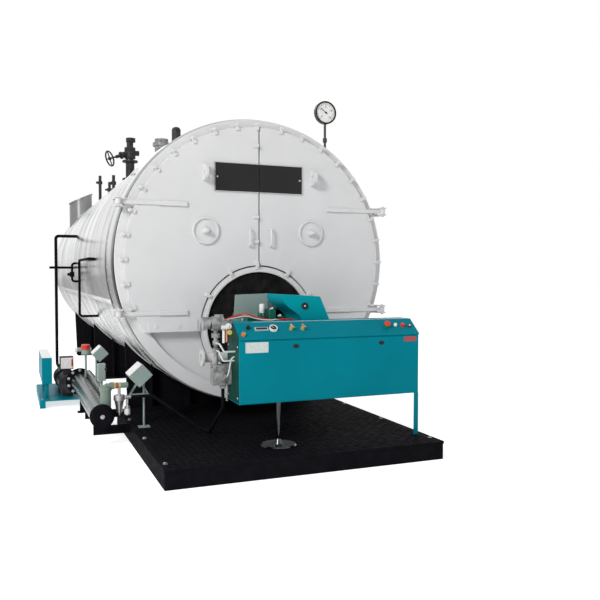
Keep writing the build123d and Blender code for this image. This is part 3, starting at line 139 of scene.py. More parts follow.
class BoilerFittings(bpy.types.PropertyGroup):
    """Sizes of the fastenings and small fittings."""

    tread_pitch: FloatProperty(
        name="Tread pitch", description="Distance between the raised marks of the deck",
        default=0.056, min=0.03, unit="LENGTH",
    )
    tread_height: FloatProperty(
        name="Tread height", description="Height of the raised marks",
        default=0.0022, min=0.0005, unit="LENGTH",
    )
    rivet_pitch: FloatProperty(
        name="Rivet pitch", description="Distance between rivets round the casing",
        default=0.12, min=0.05, unit="LENGTH",
    )
    rivet_radius: FloatProperty(
        name="Rivet radius", description="Radius of a casing rivet",
        default=0.006, min=0.002, unit="LENGTH",
    )
    dial_marks: IntProperty(
        name="Dial marks", description="Marks round the pressure gauge's dial",
        default=41, min=11,
    )


class BoilerStage(bpy.types.PropertyGroup):
    """Floor and light."""

    floor: FloatVectorProperty(
        name="Floor", description="Colour of the plain floor",
        subtype="COLOR", min=0, max=1, default=(0.86, 0.86, 0.86),
    )
    key_power: FloatProperty(
        name="Key light", description="Power of the main lamp", default=850, min=0, unit="POWER",
    )
    world_strength: FloatProperty(
        name="Surroundings", description="Strength of the light from all round", default=0.4, min=0,
    )


# Meshes

def turns(count, first=0):
    """Angles in even steps round a circle, the first of them a share of a step from the start."""
    return [2 * pi * (k + first) / count for k in range(count)]


def smooth_by_angle(bm):
    """Shade smooth, with sharp edges kept."""
    bm.normal_update()
    for face in bm.faces:
        face.smooth = True
    for edge in bm.edges:
        if not edge.is_manifold or edge.calc_face_angle(0) > SMOOTH_LIMIT:
            edge.smooth = False


def add_piece(name, bm, finish, body="root"):
    """Make a piece from a mesh under construction, and let it ride on a body."""
    smooth_by_angle(bm)
    mesh = bpy.data.meshes.new(name)
    bm.to_mesh(mesh)
    bm.free()
    piece = bpy.data.objects.new(name, mesh)
    bpy.context.scene.collection.objects.link(piece)
    mesh.materials.append(FINISHES[finish])
    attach(piece, body)


def turn_to(direction):
    """Rotation that takes Z to a direction."""
    return Vector(direction).to_track_quat("Z", "Y").to_matrix().to_4x4()


def add_turned(bm, at, direction, profile, steps=24, flat=1.0):
    """Turn a profile of radius and height pairs about a direction, flattened if asked."""
    matrix = Matrix.Translation(at) @ turn_to(direction)
    rings = []
    for radius, height in profile:
        if radius == 0:
            rings.append([bm.verts.new(matrix @ Vector((0, 0, height)))])
            continue
        ring = []
        for angle in turns(steps):
            across, deep = radius * cos(angle), flat * radius * sin(angle)
            ring.append(bm.verts.new(matrix @ Vector((across, deep, height))))
        rings.append(ring)
    for low, high in zip(rings, rings[1:]):
        for k in range(steps):
            j = (k + 1) % steps
            corners = [low[k % len(low)], low[j % len(low)], high[j % len(high)], high[k % len(high)]]
            unique = list(dict.fromkeys(corners))
            if len(unique) > 2:
                bm.faces.new(unique)


def add_bolt(bm, at, direction, radius):
    """Hexagonal head with a chamfered top, on a washer."""
    washer, washer_r = 0.22 * radius, 1.35 * radius
    top = 0.95 * radius
    crown = top + 0.1 * radius
    add_turned(bm, at, direction, [(0, 0), (washer_r, 0), (washer_r, washer), (0, washer)], 16)
    head = [(0, washer), (radius, washer), (radius, top), (0.86 * radius, crown), (0, crown)]
    add_turned(bm, at, direction, head, 6)


def add_rivet(bm, at, direction, radius):
    """Round snap head."""
    profile = [(radius, 0), (0.85 * radius, 0.35 * radius), (0.5 * radius, 0.55 * radius), (0, 0.62 * radius)]
    add_turned(bm, at, direction, profile, 8)


def add_block(bm, low, high, bevel=0.0, matrix=None):
    """Block between two corners, with rounded edges."""
    size = [b - a for a, b in zip(low, high)]
    middle = [(a + b) / 2 for a, b in zip(low, high)]
    place = Matrix.Translation(middle) @ Matrix.Diagonal((*size, 1))
    if matrix is not None:
        place = matrix @ place
    verts = bmesh.ops.create_cube(bm, size=1, matrix=place)["verts"]
    if bevel:
        edges = list({edge for vert in verts for edge in vert.link_edges})
        bmesh.ops.bevel(bm, geom=edges, offset=bevel, segments=2, affect="EDGES")


def add_prism(bm, outline, x):
    """Flat plate between two values of X, from an outline of Y and Z pairs."""
    sides = [[bm.verts.new((at, y, z)) for y, z in outline] for at in x]
    for side in sides:
        bm.faces.new(side)
    for k in range(len(outline)):
        j = (k + 1) % len(outline)
        bm.faces.new([sides[0][k], sides[0][j], sides[1][j], sides[1][k]])
    bmesh.ops.recalc_face_normals(bm, faces=bm.faces)


def strip_place(x, up):
    """Frame on the control strip's slope, at a share of the way up."""
    foot = Vector((x, STRIP_LOW[1], STRIP_LOW[2] + 0.015))
    rise = Vector((0, STRIP_CREST_Y - foot.y, STRIP_HIGH[2] - foot.z))
    along = rise.normalized()
    turn = Matrix(((1, 0, 0), along, Vector((1, 0, 0)).cross(along))).transposed()
    return Matrix.Translation(foot + up * rise) @ turn.to_4x4()


def add_pipe(name, points, radius, finish):
    """Smooth round line led by a few points, fixed to the boiler."""
    curve = bpy.data.curves.new(name, "CURVE")
    curve.dimensions = "3D"
    curve.bevel_depth = radius
    curve.bevel_resolution = 3
    curve.resolution_u = 8
    curve.use_fill_caps = True
    spline = curve.splines.new("NURBS")
    spline.points.add(len(points) - 1)
    for point, place in zip(spline.points, points):
        point.co = (*place, 1)
    spline.order_u = 3
    spline.use_endpoint_u = True
    curve.materials.append(FINISHES[finish])
    piece = bpy.data.objects.new(name, curve)
    bpy.context.scene.collection.objects.link(piece)
    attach(piece, "root")


def clock(angle, radius, y):
    """Point on a circle round the drum's axis, by its angle from twelve o'clock."""
    return Vector((radius * sin(angle), y, AXIS_Z + radius * cos(angle)))


# Finishes

def set_inputs(node, values):
    """Even values of a shader node's inputs."""
    for name, value in values.items():
        node.inputs[name].default_value = value


def add_node(tree, kind, values=None, **settings):
    """New shader node, with its settings and the even values of its inputs."""
    node = tree.nodes.new(f"ShaderNode{kind}")
    for name, value in settings.items():
        setattr(node, name, value)
    set_inputs(node, values or {})
    return node


def join(tree, *links):
    """Link shader nodes, each link as a node, its output, the next node and its input."""
    for source, output, target, place in links:
        tree.links.new(source.outputs[output], target.inputs[place])


def start_finish(name, colour, metallic, roughness, specular=0.5):
    """Material with its shader's even values set."""
    material = bpy.data.materials.new(name)
    material.use_nodes = True
    tree = material.node_tree
    shader = tree.nodes["Principled BSDF"]
    set_inputs(shader, {"Base Color": (*colour, 1), "Metallic": metallic})
    set_inputs(shader, {"Roughness": roughness, "Specular IOR Level": specular})
    return material, tree, shader


def noise(tree, scale, detail, stretch=(1, 1, 1)):
    """Noise in the object's own coordinates."""
    place = add_node(tree, "TexCoord")
    mapping = add_node(tree, "Mapping", {"Scale": stretch})
    texture = add_node(tree, "TexNoise", {"Scale": scale, "Detail": detail})
    join(tree, (place, "Object", mapping, "Vector"), (mapping, "Vector", texture, "Vector"))
    return texture.outputs["Fac"]


def share_along(tree, axis, low, high):
    """Share of the way between two places along an axis."""
    place = add_node(tree, "TexCoord")
    split = add_node(tree, "SeparateXYZ")
    share = add_node(tree, "MapRange", {"From Min": low, "From Max": high})
    join(tree, (place, "Object", split, "Vector"), (split, axis, share, "Value"))
    return share.outputs["Result"]


def fill_ramp(ramp, shades):
    """Give a new ramp its shades, of which the first starts at 0."""
    stops = ramp.color_ramp.elements
    stops.remove(stops[1])
    for at, colour in shades:
        stop = stops.new(at) if at else stops[0]
        stop.color = (*colour, 1)


def vary_colour(tree, shader, source, dark, light, low=0.35, high=0.65):
    """Colour between two shades, by a texture."""
    ramp = add_node(tree, "ValToRGB")
    ramp.color_ramp.elements[0].position = low
    ramp.color_ramp.elements[0].color = (*dark, 1)
    ramp.color_ramp.elements[1].position = high
    ramp.color_ramp.elements[1].color = (*light, 1)
    tree.links.new(source, ramp.inputs["Fac"])
    join(tree, (ramp, "Color", shader, "Base Color"))


def vary_roughness(tree, shader, source, smooth, rough):
    """Roughness between two values, by a texture that mostly lies from 0.3 to 0.7."""
    spread = add_node(tree, "MapRange", {"From Min": 0.3, "From Max": 0.7, "To Min": smooth, "To Max": rough})
    tree.links.new(source, spread.inputs["Value"])
    join(tree, (spread, "Result", shader, "Roughness"))


def add_bump(tree, shader, source, strength, distance):
    """Small unevenness of the surface."""
    bump = add_node(tree, "Bump", {"Strength": strength, "Distance": distance})
    tree.links.new(source, bump.inputs["Height"])
    join(tree, (bump, "Normal", shader, "Normal"))


def shade(colour, factor):
    """The same colour, lighter or darker."""
    return tuple(min(1, c * factor) for c in colour)


def uneven(name, colour, even, tones, gloss, relief):
    """Finish that varies in colour, gloss and relief, each after the scale and detail of its noise."""
    material, tree, shader = start_finish(name, colour, *even)
    grain, dark, light, *ends = tones
    vary_colour(tree, shader, noise(tree, *grain), shade(colour, dark), shade(colour, light), *ends)
    grain, smooth, rough = gloss
    vary_roughness(tree, shader, noise(tree, *grain), smooth, rough)
    grain, strength, distance = relief
    add_bump(tree, shader, noise(tree, *grain), strength, distance)
    return material


def enamel(name, colour, spread, roughness=(0.26, 0.36), specular=0.15):
    """Sprayed enamel with a faint orange peel and slightly uneven shade."""
    even, tones = (0, roughness[0], specular), ((2.4, 5), 1 - spread, 1 + spread)
    return uneven(name, colour, even, tones, ((9, 3), *roughness), ((420, 2), 0.06, 0.0006))


# Share of the drum's height, and how bright the sheet is kept there: painted reflections and shade, in bands
# by height
SHEET_REFLECTION_TONES = (
    (0, 0.25),
    (0.1, 0.4),
    (0.17, 1.0),
    (0.34, 1.0),
    (0.37, 0.3),
    (0.49, 0.36),
    (0.56, 0.8),
    (0.66, 1.0),
)


def polished_sheet(name, colour):
    """Polished casing sheet: rolling bands that run round the drum, and painted reflections and shade, darker
    by height along its flanks.
    """
    material, tree, shader = start_finish(name, colour, 1, 0.2)
    bands = noise(tree, 1, 6, (0.1, 2.2, 0.1))
    patches = noise(tree, 2.1, 6, (1, 0.5, 1.6))
    # Height up the drum, jittered a little by the patches, picks the painted reflections and shade from the
    # height tones
    reflection_height = add_node(tree, "Math", {1: 0.03}, operation="MULTIPLY_ADD")
    tree.links.new(patches, reflection_height.inputs[0])
    tree.links.new(share_along(tree, "Z", DRUM_LOW[2], DRUM_HIGH[2]), reflection_height.inputs[2])
    reflection_ramp = add_node(tree, "ValToRGB")
    fill_ramp(reflection_ramp, [(at, (tone, tone, tone)) for at, tone in SHEET_REFLECTION_TONES])
    join(tree, (reflection_height, "Value", reflection_ramp, "Fac"))
    vary_colour(tree, shader, bands, shade(colour, 0.74), shade(colour, 1.35), 0.42, 0.6)
    both = add_node(tree, "Mix", {0: 1}, data_type="RGBA", blend_type="MULTIPLY")
    tree.links.new(shader.inputs["Base Color"].links[0].from_socket, both.inputs[6])
    join(tree, (reflection_ramp, "Color", both, 7), (both, 2, shader, "Base Color"))
    vary_roughness(tree, shader, patches, 0.14, 0.32)
    add_bump(tree, shader, bands, 0.2, 0.01)
    return material


def brushed(name, colour, grain, roughness):
    """Rolled steel with a soft grain in one direction."""
    even, tones = (0.75, roughness[0], 0.3), ((5, 3, grain), 0.75, 1.2)
    return uneven(name, colour, even, tones, ((12, 3), *roughness), ((120, 2, grain), 0.02, 0.0002))


def black_coat(name, colour):
    """Flat black paint with settled dust."""
    even, tones = (0, 0.6, 0.01), ((14, 6), 0.85, 1.35, 0.35, 0.8)
    return uneven(name, colour, even, tones, ((22, 4), 0.5, 0.75), ((260, 2), 0.1, 0.0008))


def machined(name, colour, roughness=(0.28, 0.45)):
    """Bare metal with turning marks."""
    even, tones = (1, roughness[0]), ((30, 5), 0.72, 1.1)
    return uneven(name, colour, even, tones, ((60, 4), *roughness), ((300, 2, (1, 8, 1)), 0.08, 0.0005))


def sand_casting(name, colour):
    """Rough cast iron with a worn dark coat."""
    even, tones = (0.1, 0.55, 0.25), ((18, 6), 0.6, 1.7)
    return uneven(name, colour, even, tones, ((35, 3), 0.42, 0.7), ((190, 4), 0.35, 0.0015))


def sooted(name, colour):
    """Bare steel under a thin, even coat of soot."""
    even, tones = (0.1, 0.6, 0.25), ((4, 3), 0.8, 1.2)
    return uneven(name, colour, even, tones, ((20, 3), 0.5, 0.7), ((120, 3), 0.2, 0.0006))


def moulded(name, colour, roughness=(0.25, 0.35)):
    """Moulded plastic with a fine grain."""
    even, tones = (0, roughness[0], 0.25), ((40, 2), 0.93, 1.05)
    return uneven(name, colour, even, tones, ((70, 2), *roughness), ((900, 2), 0.08, 0.0003))


def brickwork_lining(name, colour):
    """Sooty refractory."""
    even, tones = (0, 0.9, 0.05), ((12, 8), 0.6, 1.6)
    return uneven(name, colour, even, tones, ((30, 4), 0.8, 0.98), ((55, 6), 0.6, 0.006))


def banded_controls(name, shades):
    """Moulded heads whose colour changes from one control to the next along the strip."""
    material, tree, shader = start_finish(name, shades[0][1], 0, 0.3, 0.2)
    low, high = CONTROLS_LOW[0], CONTROLS_HIGH[0]
    ramp = add_node(tree, "ValToRGB")
    ramp.color_ramp.interpolation = "CONSTANT"
    fill_ramp(ramp, [(max(0, (x - low) / (high - low)), colour) for x, colour in shades])
    tree.links.new(share_along(tree, "X", low, high), ramp.inputs["Fac"])
    join(tree, (ramp, "Color", shader, "Base Color"))
    vary_roughness(tree, shader, noise(tree, 70, 2), 0.25, 0.4)
    add_bump(tree, shader, noise(tree, 900, 2), 0.08, 0.0003)
    return material


# Where each control's colour starts along the strip, and the colour
CONTROL_SHADES = (
    (-1.0, (0.62, 0.2, 0.05)),
    (-0.47, (0.02, 0.02, 0.022)),
    (-0.42, (0.5, 0.52, 0.53)),
    (-0.275, (0.75, 0.75, 0.74)),
    (-0.15, (0.5, 0.36, 0.16)),
    (0.4, (0.01, 0.2, 0.08)),
    (0.84, (0.72, 0.72, 0.7)),
    (0.915, (0.6, 0.04, 0.02)),
    (0.975, (0.2, 0.02, 0.015)),
)

# Nodes whose finish isn't their slot's
NODE_FINISHES = {
    "burner_conduits": "hose_white",
    "burner_inlet": "pale_steel",
    "valve_train": "cast_grey",
    "pump_skid": "teal_paint",
    "preheater_vessel": "bright_tube",
    "preheater_outlet": "lagging_green",
    "crown_nozzle": "cast_grey",
    "flue_stub": "rolled_steel",
    "burner_housing": "hood_teal",
    "strip_controls": "controls",
    "front_tube_plate": "fired_steel",
    "furnace_neck": "fired_steel",
}


def make_finishes():
    """Every finish of the boiler, by its slot or plain name."""
    paint = bpy.context.scene.boiler_paint
    black = tuple(paint.black)
    FINISHES.update(
        {
            "front_paint": enamel("Grey enamel", tuple(paint.front), 0.025, (0.3, 0.4), 0.3),
            "teal_paint": enamel("Teal enamel", tuple(paint.teal), 0.06, (0.3, 0.4), 0.04),
            "hood_teal": enamel("Hood enamel", (0.0, 0.3, 0.35), 0.06, (0.3, 0.4), 0.04),
            "casing_steel": polished_sheet("Polished sheet", tuple(paint.polished)),
            "black_paint": black_coat("Black paint", black),
            # The deck's raised marks are painted darker than the deck, as painted shade of their sloping
            # sides
            "tread_black": black_coat("Tread black, painted shade", shade(black, 0.3)),
            "bare_steel": machined("Machined steel", (0.5, 0.5, 0.51)),
            "pale_steel": enamel("Pale steel", (0.6, 0.6, 0.59), 0.1, (0.3, 0.45), 0.4),
            # The preheater's tube is kept far darker than bright steel: a painted reflection of darker
            # surroundings
            "bright_tube": brushed("Bright tube, darkened as painted reflection", (0.055, 0.075, 0.069), (3, 0.15, 3), (0.16, 0.24)),
            "rolled_steel": brushed("Rolled steel", (0.25, 0.25, 0.255), (1.4, 1.4, 0.1), (0.3, 0.4)),
            "cast_dark": sand_casting("Cast iron", (0.022, 0.022, 0.024)),
            "cast_grey": sand_casting("Grey casting", (0.22, 0.225, 0.225)),
            "fired_steel": sooted("Fired steel", (0.17, 0.155, 0.145)),
            # Near-black soot for the tube bores, which also stands as painted shade of their depth
            "soot": sooted("Soot", (0.007, 0.0065, 0.006)),
            "refractory": brickwork_lining("Refractory", (0.0105, 0.01, 0.0105)),
            # Chrome darkened to stand for the dark surroundings it reflects: a painted reflection
            "chrome": machined("Dark chrome, painted reflection", (0.07, 0.078, 0.074), (0.08, 0.16)),
            "dial": moulded("Dial case", (0.03, 0.03, 0.032)),
            "box_grey": enamel("Instrument grey", (0.26, 0.33, 0.31), 0.06),
            "lagging_green": enamel("Lagging green", (0.2, 0.26, 0.22), 0.12, (0.4, 0.55)),
            "plate_black": enamel("Plate black", (0.006, 0.006, 0.007), 0.3, (0.12, 0.2), 0.3),
            "brass": machined("Brass", (0.62, 0.43, 0.17)),
            "copper": machined("Copper", (0.66, 0.31, 0.19)),
            "white": moulded("White plastic", (0.78, 0.78, 0.76)),
            "hose_white": moulded("White hose", (0.62, 0.66, 0.63), (0.35, 0.5)),
            "red": moulded("Red plastic", (0.62, 0.045, 0.025)),
            "label_red": moulded("Red label", (0.42, 0.07, 0.07)),
            "label_white": moulded("White label", (0.56, 0.62, 0.6)),
            "orange": moulded("Orange sleeve", (0.6, 0.2, 0.06)),
            "yellow": moulded("Yellow plastic", (0.7, 0.55, 0.12)),
            "dark": moulded("Black plastic", (0.014, 0.014, 0.015)),
            "green": enamel("Green enamel", (0.004, 0.11, 0.07), 0.2),
            "end_green_painted_shade": enamel("Deep green enamel, painted shade", (0.002, 0.042, 0.032), 0.25, (0.35, 0.5), 0.1),
            "controls": banded_controls("Control heads", CONTROL_SHADES),
        }
    )


class BOILER_OT_finish_nodes(bpy.types.Operator):
    """Give each of the boiler's solid parts the finish of its slot"""

    bl_idname = "boiler.finish_nodes"
    bl_label = "Finish the solid parts"

    def execute(self, context):
        make_finishes()
        slots = {part["node"]: part["material_slot"] for part in frame["record"]["subparts"]}
        for name, node in frame["nodes"].items():
            finish = FINISHES[NODE_FINISHES.get(name, slots[name])]
            for slot in node.material_slots:
                slot.material = finish
            if not node.material_slots:
                node.data.materials.append(finish)
        return {"FINISHED"}


class BOILER_OT_deck_tread(bpy.types.Operator):
    """Raise the lozenge tread on the deck plate"""

    bl_idname = "boiler.deck_tread"
    bl_label = "Deck tread"

    def execute(self, context):
        sizes = context.scene.boiler_fittings
        pitch, height = sizes.tread_pitch, sizes.tread_height
        top = DECK_HIGH[2]
        across = int((DECK_HIGH[0] - DECK_LOW[0] - pitch) / pitch)
        along = int((DECK_HIGH[1] - DECK_LOW[1] - pitch) / pitch)
        bm = bmesh.new()
        for i in range(across):
            for j in range(along):
                x = DECK_LOW[0] + (i + 1) * pitch
                y = DECK_LOW[1] + (j + 1) * pitch
                turn = radians(45 if (i + j) % 2 else -45)
                place = Matrix.Translation((x, y, top)) @ Matrix.Rotation(turn, 4, "Z")
                self.add_lozenge(bm, place, pitch, height)
        add_piece("deck_tread", bm, "tread_black")
        return {"FINISHED"}

    @staticmethod
    def add_lozenge(bm, place, pitch, height):
        """One mark: a long lozenge with sloping sides."""
        long, wide, crown = 0.4 * pitch, 0.11 * pitch, 0.6
        foot = [(-long, 0), (0, -wide), (long, 0), (0, wide)]
        low = [bm.verts.new(place @ Vector((x, y, 0))) for x, y in foot]
        high = [bm.verts.new(place @ Vector((crown * x, crown * y, height))) for x, y in foot]
        bm.faces.new(high)
        for k in range(4):
            j = (k + 1) % 4
            bm.faces.new([low[k], low[j], high[j], high[k]])


class BOILER_OT_casing_fastenings(bpy.types.Operator):
    """Rivet the casing's joints and bolt the rear head"""

    bl_idname = "boiler.casing_fastenings"
    bl_label = "Casing fastenings"

    def execute(self, context):
        sizes = context.scene.boiler_fittings
        count = int(2 * pi * CASING_R / sizes.rivet_pitch)
        length = DRUM_HIGH[1] - DRUM_LOW[1]
        rows = [DRUM_LOW[1] + SEAM_INSET, BAND_HIGH[1] - SEAM_INSET]
        for k in range(1, CASING_COURSES):
            seam = DRUM_LOW[1] + k * length / CASING_COURSES
            rows += [seam - SEAM_HALF, seam + SEAM_HALF]
        bm = bmesh.new()
        for y in rows:
            for angle in turns(count):
                outward = Vector((sin(angle), 0, cos(angle)))
                add_rivet(bm, clock(angle, CASING_R, y), outward, sizes.rivet_radius)
        add_piece("casing_rivets", bm, "bare_steel")
        head = bmesh.new()
        rear_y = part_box("rear_head")[1][1]
        for angle in turns(REAR_HEAD_BOLTS):
            add_bolt(head, clock(angle, CASING_R - 0.05, rear_y), (0, 1, 0), 0.014)
        add_piece("rear_head_bolts", head, "bare_steel")
        return {"FINISHED"}


class BOILER_OT_name_plate(bpy.types.Operator):
    """Frame the bare plate on each leaf and screw it down"""

    bl_idname = "boiler.name_plate"
    bl_label = "Plate frame"

    def execute(self, context):
        rim, proud, screw_inset = 0.006, 0.003, 0.028
        for side, hand in ((-1, "left"), (1, "right")):
            low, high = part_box(f"{hand}_name_plate")
            front = low[1]
            outer_x = low[0] if side < 0 else high[0]
            bm = bmesh.new()
            for z in (low[2], high[2] - rim):
                add_block(bm, (low[0], front - proud, z), (high[0], front, z + rim), 0.001)
            edge = (outer_x, outer_x + rim) if side < 0 else (outer_x - rim, outer_x)
            add_block(bm, (edge[0], front - proud, low[2] + rim), (edge[1], front, high[2] - rim), 0.001)
            screw_at = (outer_x - side * screw_inset, front, (low[2] + high[2]) / 2)
            add_rivet(bm, screw_at, (0, -1, 0), 0.009)
            add_piece(f"{hand}_door_plate_frame", bm, "pale_steel", f"{hand}_door")
        return {"FINISHED"}


class BOILER_OT_gauge_dial(bpy.types.Operator):
    """Print the pressure gauge's marks and plain numbers, with its pointer and glass rim"""

    bl_idname = "boiler.gauge_dial"
    bl_label = "Gauge dial"

    def execute(self, context):
        marks = context.scene.boiler_fittings.dial_marks
        face_y = GAUGE_AT.y + 0.0118
        face = bmesh.new()
        centre = Vector((GAUGE_AT.x, face_y, GAUGE_AT.z))
        add_turned(face, centre, (0, -1, 0), [(0.87 * GAUGE_R, 0), (0.86 * GAUGE_R, 0.001), (0, 0.001)], 64)
        add_piece("gauge_face", face, "white")
        ink = bmesh.new()
        for k in range(marks):
            angle = SCALE_START + SCALE_SWEEP * k / (marks - 1)
            long = k % 5 == 0
            inner = (0.66 if long else 0.72) * GAUGE_R
            half = 0.0016 if long else 0.0008
            place = Matrix.Translation(centre) @ Matrix.Rotation(angle, 4, "Y")
            add_block(ink, (-half, -0.0018, inner), (half, -0.001, 0.8 * GAUGE_R), matrix=place)
        place = Matrix.Translation(centre) @ Matrix.Rotation(POINTER_ANGLE, 4, "Y")
        add_block(ink, (-0.003, -0.006, -0.2 * GAUGE_R), (0.003, -0.004, 0.62 * GAUGE_R), 0.0004, place)
        add_turned(ink, centre, (0, -1, 0), [(0.009, 0), (0.009, 0.007), (0.006, 0.009), (0, 0.009)], 20)
        for k in range(0, marks, MARKS_TO_NUMBER):
            angle = SCALE_START + SCALE_SWEEP * k / (marks - 1)
            outward = Vector((sin(angle), 0, cos(angle)))
            number = str(k // MARKS_TO_NUMBER * NUMBER_STEP)
            self.add_number(ink, number, centre + outward * 0.52 * GAUGE_R)
        add_piece("gauge_marks", ink, "dark")
        rim = bmesh.new()
        profile = [(0.9 * GAUGE_R, 0), (0.98 * GAUGE_R, 0), (0.98 * GAUGE_R, 0.001), (0.9 * GAUGE_R, 0.001)]
        add_turned(rim, GAUGE_AT + Vector((0, 0.001, 0)), (0, -1, 0), profile + profile[:1], 64)
        add_piece("gauge_rim", rim, "dial")
        return {"FINISHED"}

    @staticmethod
    def add_number(bm, text, at):
        """A plain number, standing upright on the dial."""
        curve = bpy.data.curves.new("number", "FONT")
        curve.body = text
        curve.size = 0.028
        curve.align_x = curve.align_y = "CENTER"
        curve.extrude = 0.0003
        holder = bpy.data.objects.new("number", curve)
        mesh = bpy.data.meshes.new_from_object(holder)
        upright = Matrix.Rotation(radians(90), 4, "X")
        mesh.transform(Matrix.Translation(at + Vector((0, -0.0014, 0))) @ upright)
        bm.from_mesh(mesh)
        bpy.data.objects.remove(holder)
        bpy.data.curves.remove(curve)
        bpy.data.meshes.remove(mesh)


class BOILER_OT_cabinet_trim(bpy.types.Operator):
    """Fit the cabinet's latches, bare labels, end plate in deep green with painted shade, screws, hood knob
    and pale edging with a painted highlight along the crest
    """

    bl_idname = "boiler.cabinet_trim"
    bl_label = "Cabinet trim"

    def execute(self, context):
        front, top = CABINET_LOW[1], CABINET_HIGH[2]
        latches = bmesh.new()
        profile = [(0.027, 0), (0.027, 0.003), (0.021, 0.006), (0, 0.006)]
        for x in (-0.07, 0.703):
            add_turned(latches, (x, front, top - 0.054), (0, -1, 0), profile, 28, 0.6)
        add_piece("cabinet_latches", latches, "dark")
        for name, x, z, finish in (
            ("cabinet_plate_white", (-0.493, -0.304), (0.912, 0.995), "label_white"),
            ("cabinet_plate_red", (0.92, 1.04), (0.957, 0.997), "label_red"),
        ):
            label = bmesh.new()
            add_block(label, (x[0], front - 0.0015, z[0]), (x[1], front, z[1]), 0.0005)
            add_piece(name, label, finish)
        end = CABINET_LOW[0]
        # The end plate is a darker green than the cabinet: the end's own green with painted shade on it
        plate_end = end - END_PLATE
        plate = bmesh.new()
        y0, y1, z0, z1 = front + 0.018, CABINET_HIGH[1] - 0.006, CABINET_LOW[2] + 0.006, STRIP_HIGH[2] - 0.006
        outline = [(y0, z0), (y1, z0), (y1, z1), (STRIP_CREST_Y + 0.004, z1), (y0, top + 0.028)]
        add_prism(plate, outline, (plate_end, end))
        add_piece("cabinet_end_plate", plate, "end_green_painted_shade")
        screws = bmesh.new()
        for y in (y0 + 0.03, y1 - 0.03):
            for z in (z0 + 0.04, top - 0.05):
                add_rivet(screws, (plate_end, y, z), (-1, 0, 0), 0.008)
                add_rivet(screws, (CABINET_HIGH[0], y, z), (1, 0, 0), 0.008)
        add_piece("cabinet_screws", screws, "pale_steel")
        knob = bmesh.new()
        at = (0.147, HOUSING_LOW[1] + 0.01, HOUSING_HIGH[2] - 0.1)
        dish = [(0.03, 0), (0.03, 0.008), (0.016, 0.008), (0.014, 0.004), (0, 0.004)]
        add_turned(knob, at, (0, -1, 0), dish, 28)
        add_piece("hood_knob", knob, "dark")
        pale = bmesh.new()
        add_turned(pale, at, (0, -1, 0), [(0.009, 0), (0.009, 0.006), (0.005, 0.009), (0, 0.009)], 20)
        # Pale strip along the crest of the control strip: a painted highlight of its edge
        low = (STRIP_LOW[0] + 0.16, STRIP_CREST_Y - 0.002, STRIP_HIGH[2])
        high = (STRIP_HIGH[0] - 0.06, STRIP_CREST_Y + 0.016, STRIP_HIGH[2] + 0.003)
        add_block(pale, low, high, 0.001)
        add_piece("cabinet_edging_highlight", pale, "pale_steel")
        return {"FINISHED"}


class BOILER_OT_control_heads(bpy.types.Operator):
    """Cap the controls on the strip: gauge glass, display window, mushroom head and levers"""

    bl_idname = "boiler.control_heads"
    bl_label = "Control heads"

    def execute(self, context):
        white, dark, red, brass = bmesh.new(), bmesh.new(), bmesh.new(), bmesh.new()
        gauge = strip_place(-0.235, 0.55)
        ring = [(0.034, 0.014), (0.034, 0.019), (0.026, 0.019), (0.026, 0.014)]
        self.add_head(white, gauge, ring + ring[:1], 40)
        self.add_head(dark, gauge, [(0.0255, 0.014), (0.0255, 0.0155), (0, 0.0155)], 40)
        pointer = gauge @ Matrix.Rotation(0.7, 4, "Z")
        add_block(white, (-0.0015, -0.003, 0.0155), (0.0015, 0.02, 0.0165), matrix=pointer)
        add_block(dark, (-0.046, -0.011, 0.01), (0.046, 0.011, 0.0115), 0.0004, strip_place(-0.335, 0.55))
        turn = Matrix.Rotation(radians(25), 4, "Z")
        for x in (-0.085, 0.015):
            add_block(brass, (-0.006, -0.03, 0.034), (0.006, 0.022, 0.044), 0.002, strip_place(x, 0.5) @ turn)
        dome = [(1.0, 0), (1.0, 0.25), (0.85, 0.5), (0.5, 0.68), (0, 0.74)]
        for bm, x, up, radius, stand in (
            (red, 0.79, 0.5, 0.029, 0.03),
            (white, 0.88, 0.55, 0.0145, 0.014),
            (red, 0.945, 0.5, 0.0185, 0.018),
            (dark, -0.445, 0.62, 0.0135, 0.026),
            (white, 1.01, 0.45, 0.008, 0.016),
        ):
            profile = [(radius * r, stand + radius * h) for r, h in dome]
            self.add_head(bm, strip_place(x, up), profile, 28)
        add_piece("control_caps_white", white, "white")
        add_piece("control_caps_dark", dark, "dark")
        add_piece("control_caps_red", red, "red")
        add_piece("control_levers", brass, "brass")
        return {"FINISHED"}

    @staticmethod
    def add_head(bm, place, profile, steps):
        """Turned cap on the slope."""
        add_turned(bm, place.translation, place.to_3x3() @ Vector((0, 0, 1)), profile, steps)


